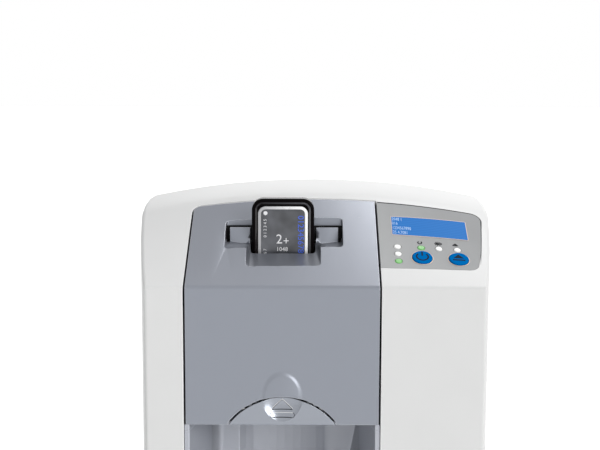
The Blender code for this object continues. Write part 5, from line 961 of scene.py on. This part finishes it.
# Painted shade: dark lines along the lower edges.
dark = [
    (straight((-0.3, -2.9), (-6.0, -8.4), 14), 0.25),
    (straight((0.3, -2.9), (6.0, -8.4), 14), 0.25),
    (straight((-6.0, -8.6), (6.0, -8.6), 14), 0.45),
    (straight((-5.8, -13.2), (5.8, -13.2), 14), 0.45),
    (arc(1.4, 100, 260, 10, (-5.9, -11.8)), 0.3),
    (arc(1.4, 80, -80, 10, (5.9, -11.8)), 0.3),
]
painted_shade_lines = [line(in_hollow, path, width, SUNK, 0.12) for path, width in dark]
settle(piece_of("lever_sign_painted_shade", painted_shade_lines, dark_ink_and_shade), "lever", "silver_plastic")

# %% [markdown]
# ## Lips of the bay
# The two cheeks of the bay end 4 mm below the cover. A lip on each closes that gap up to 0.3 mm under the
# cover, which swings forward and up and so never meets it.

# %% Two lips
LIP_FOOT, LIP_TOP = 133.9, 138.0
lip_corners = np.array([(58.2, -116.0), (55.35, -116.0), (53.25, -104.0), (56.05, -104.0)])
lip_middle = np.repeat(lip_corners.mean(axis=0)[None], 4, axis=0)
plan = np.stack([lip_middle, lip_corners, lip_corners, lip_middle])
level = np.repeat([[LIP_FOOT], [LIP_FOOT], [LIP_TOP], [LIP_TOP]], 4, axis=1)
for name, side in (("bay_lip_left", -1), ("bay_lip_right", 1)):
    rows = np.stack([MIDDLE + side * plan[..., 0], plan[..., 1], level], axis=-1)
    settle(piece_of(name, [rows], bay_lacquer), "housing", "grey_plastic")

# %% [markdown]
# ## Dust cloth behind the vents
# A real housing has a cloth behind its vent slots, which also keeps daylight away from the plates. It is
# a thin sheet 0.3 mm in front of the rear cover's inner wall.

# %% Dust cloth
CLOTH_BACK, CLOTH_HALF, CLOTH_RADII = (0.0, 114.0, 159.5), (62.0, 35.5), (3.0, 3.0)
profile = [(0, 0), (0.2, 0), (0, 0.2), (0, 0.5), (0.2, 0.7), (0, 0.7)]
rows = stepped(upright(*CLOTH_BACK), CLOTH_HALF, CLOTH_RADII, profile)
settle(piece_of("dust_cloth", [rows], dust_cloth), "housing", "dark_plastic")

# %% [markdown]
# ## Studio
# Three lamps light the object. A wide key stands in front, a little to the right and low enough to reach
# into the bay. A weak one low behind lifts the arch's rim, and one high behind lights the slope. The room
# is darker on the left, so that the arch and the hollow of the lever show. The floor and the room look
# white to the camera, in glossy surfaces and through clear ones. All else gets only their plain light.

# %% Floor
FLOOR_HALF, FLOOR_GLOW = 6, 0.45
PLAIN_WHITE = (1, 1, 1, 1)


def background_rays(tree):
    """1 for rays from the camera, off glossy surfaces and through clear ones, and 0 for all others."""
    ray = add(tree, "ShaderNodeLightPath").outputs
    mirrored = combine(tree, "MAXIMUM", ray["Is Glossy Ray"], ray["Is Transmission Ray"])
    return combine(tree, "MAXIMUM", ray["Is Camera Ray"], mirrored)


corners = [(-FLOOR_HALF, -FLOOR_HALF, 0), (FLOOR_HALF, -FLOOR_HALF, 0)]
corners += [(FLOOR_HALF, FLOOR_HALF, 0), (-FLOOR_HALF, FLOOR_HALF, 0)]
floor_mesh = bpy.data.meshes.new("floor")
floor_mesh.from_pydata(corners, [], [(0, 1, 2, 3)])
floor = bpy.data.objects.new("floor", floor_mesh)
bpy.context.scene.collection.objects.link(floor)
floor_white, tree, shader = finish("pale_table_laminate", "E8E8E7", 0.6)
grain(tree, shader, 2.0, 0.02, 0.55, 0.65)
glow = add(tree, "ShaderNodeEmission", {"Color": PLAIN_WHITE, "Strength": FLOOR_GLOW})
share = add(tree, "ShaderNodeMixShader", {0: background_rays(tree), 2: glow.outputs[0]})
total = add(tree, "ShaderNodeAddShader", {0: shader.outputs[0], 1: share.outputs[0]})
tree.links.new(total.outputs[0], tree.nodes["Material Output"].inputs["Surface"])
floor_mesh.materials.append(floor_white)
print("floor", 2 * FLOOR_HALF, "m wide")

# %% Room
ROOM_LEFT, ROOM_RIGHT = 0.44, 0.75
world = bpy.data.worlds.new("studio")
bpy.context.scene.world = world
world.use_nodes = True
tree = world.node_tree
tree.nodes.clear()
way = add(tree, "ShaderNodeSeparateXYZ", {0: add(tree, "ShaderNodeTexCoord").outputs["Generated"]})
limits = {"Value": way.outputs["X"], "From Min": -1.0, "To Min": ROOM_LEFT, "To Max": ROOM_RIGHT}
room_level = add(tree, "ShaderNodeMapRange", limits).outputs["Result"]
room = add(tree, "ShaderNodeBackground", {"Color": srgb("F6F7F9"), "Strength": room_level})
white = add(tree, "ShaderNodeBackground", {"Color": PLAIN_WHITE, "Strength": 1.0})
both = add(tree, "ShaderNodeMixShader", {0: background_rays(tree), 1: room.outputs[0], 2: white.outputs[0]})
add(tree, "ShaderNodeOutputWorld", {"Surface": both.outputs[0]})
print("room from", ROOM_LEFT, "on the left to", ROOM_RIGHT, "on the right")


# %% Lamps
def sun(name, azimuth, elevation, angle, strength):
    """A soft sun: azimuth to the right of the front, elevation above the floor and width, in degrees."""
    side, height = math.radians(azimuth), math.radians(elevation)
    way = Vector((math.sin(side), -math.cos(side), math.tan(height)))
    data = bpy.data.lights.new(name, "SUN")
    data.angle = math.radians(angle)
    data.energy = strength
    light = bpy.data.objects.new(name, data)
    light.rotation_euler = way.to_track_quat("Z", "Y").to_euler()
    bpy.context.scene.collection.objects.link(light)
    print("lamp", name, "of strength", strength)


sun("key", 38, 18, 34, 1.45)
sun("back", 172, 22, 40, 0.28)
sun("top", 152, 59, 22, 0.66)

# %% [markdown]
# ## Camera
# The place and the lens were worked out from the edges of the housing in the picture: a 78 mm lens on a
# 36 mm sensor, 0.87 m in front of the object and a little above it, looking down by 8.2 degrees.

# %% Camera from a place and three angles
LENS, SENSOR = 78.0, 36.0
eye = Vector((-6.0, -865.0, 366.15)) * MM
yaw, pitch, roll = np.radians([0.25, 8.2, 0.15])
forward = np.array([-np.sin(yaw) * np.cos(pitch), np.cos(yaw) * np.cos(pitch), -np.sin(pitch)])
right = np.array([np.cos(yaw), np.sin(yaw), 0.0])
up = np.cross(right, forward)
right, up = right * np.cos(roll) + up * np.sin(roll), -right * np.sin(roll) + up * np.cos(roll)
turn = Matrix(np.column_stack([right, up, -forward]).tolist()).to_4x4()
camera_data = bpy.data.cameras.new("camera")
camera_data.lens = LENS
camera_data.sensor_width = SENSOR
camera_data.sensor_fit = "HORIZONTAL"
camera_data.clip_start = 0.01
camera_data.clip_end = 20.0
camera = bpy.data.objects.new("camera", camera_data)
camera.matrix_world = Matrix.Translation(eye) @ turn
bpy.context.scene.collection.objects.link(camera)
bpy.context.scene.camera = camera
bpy.context.scene.view_settings.view_transform = "Standard"
print("camera with a lens of", LENS, "mm")
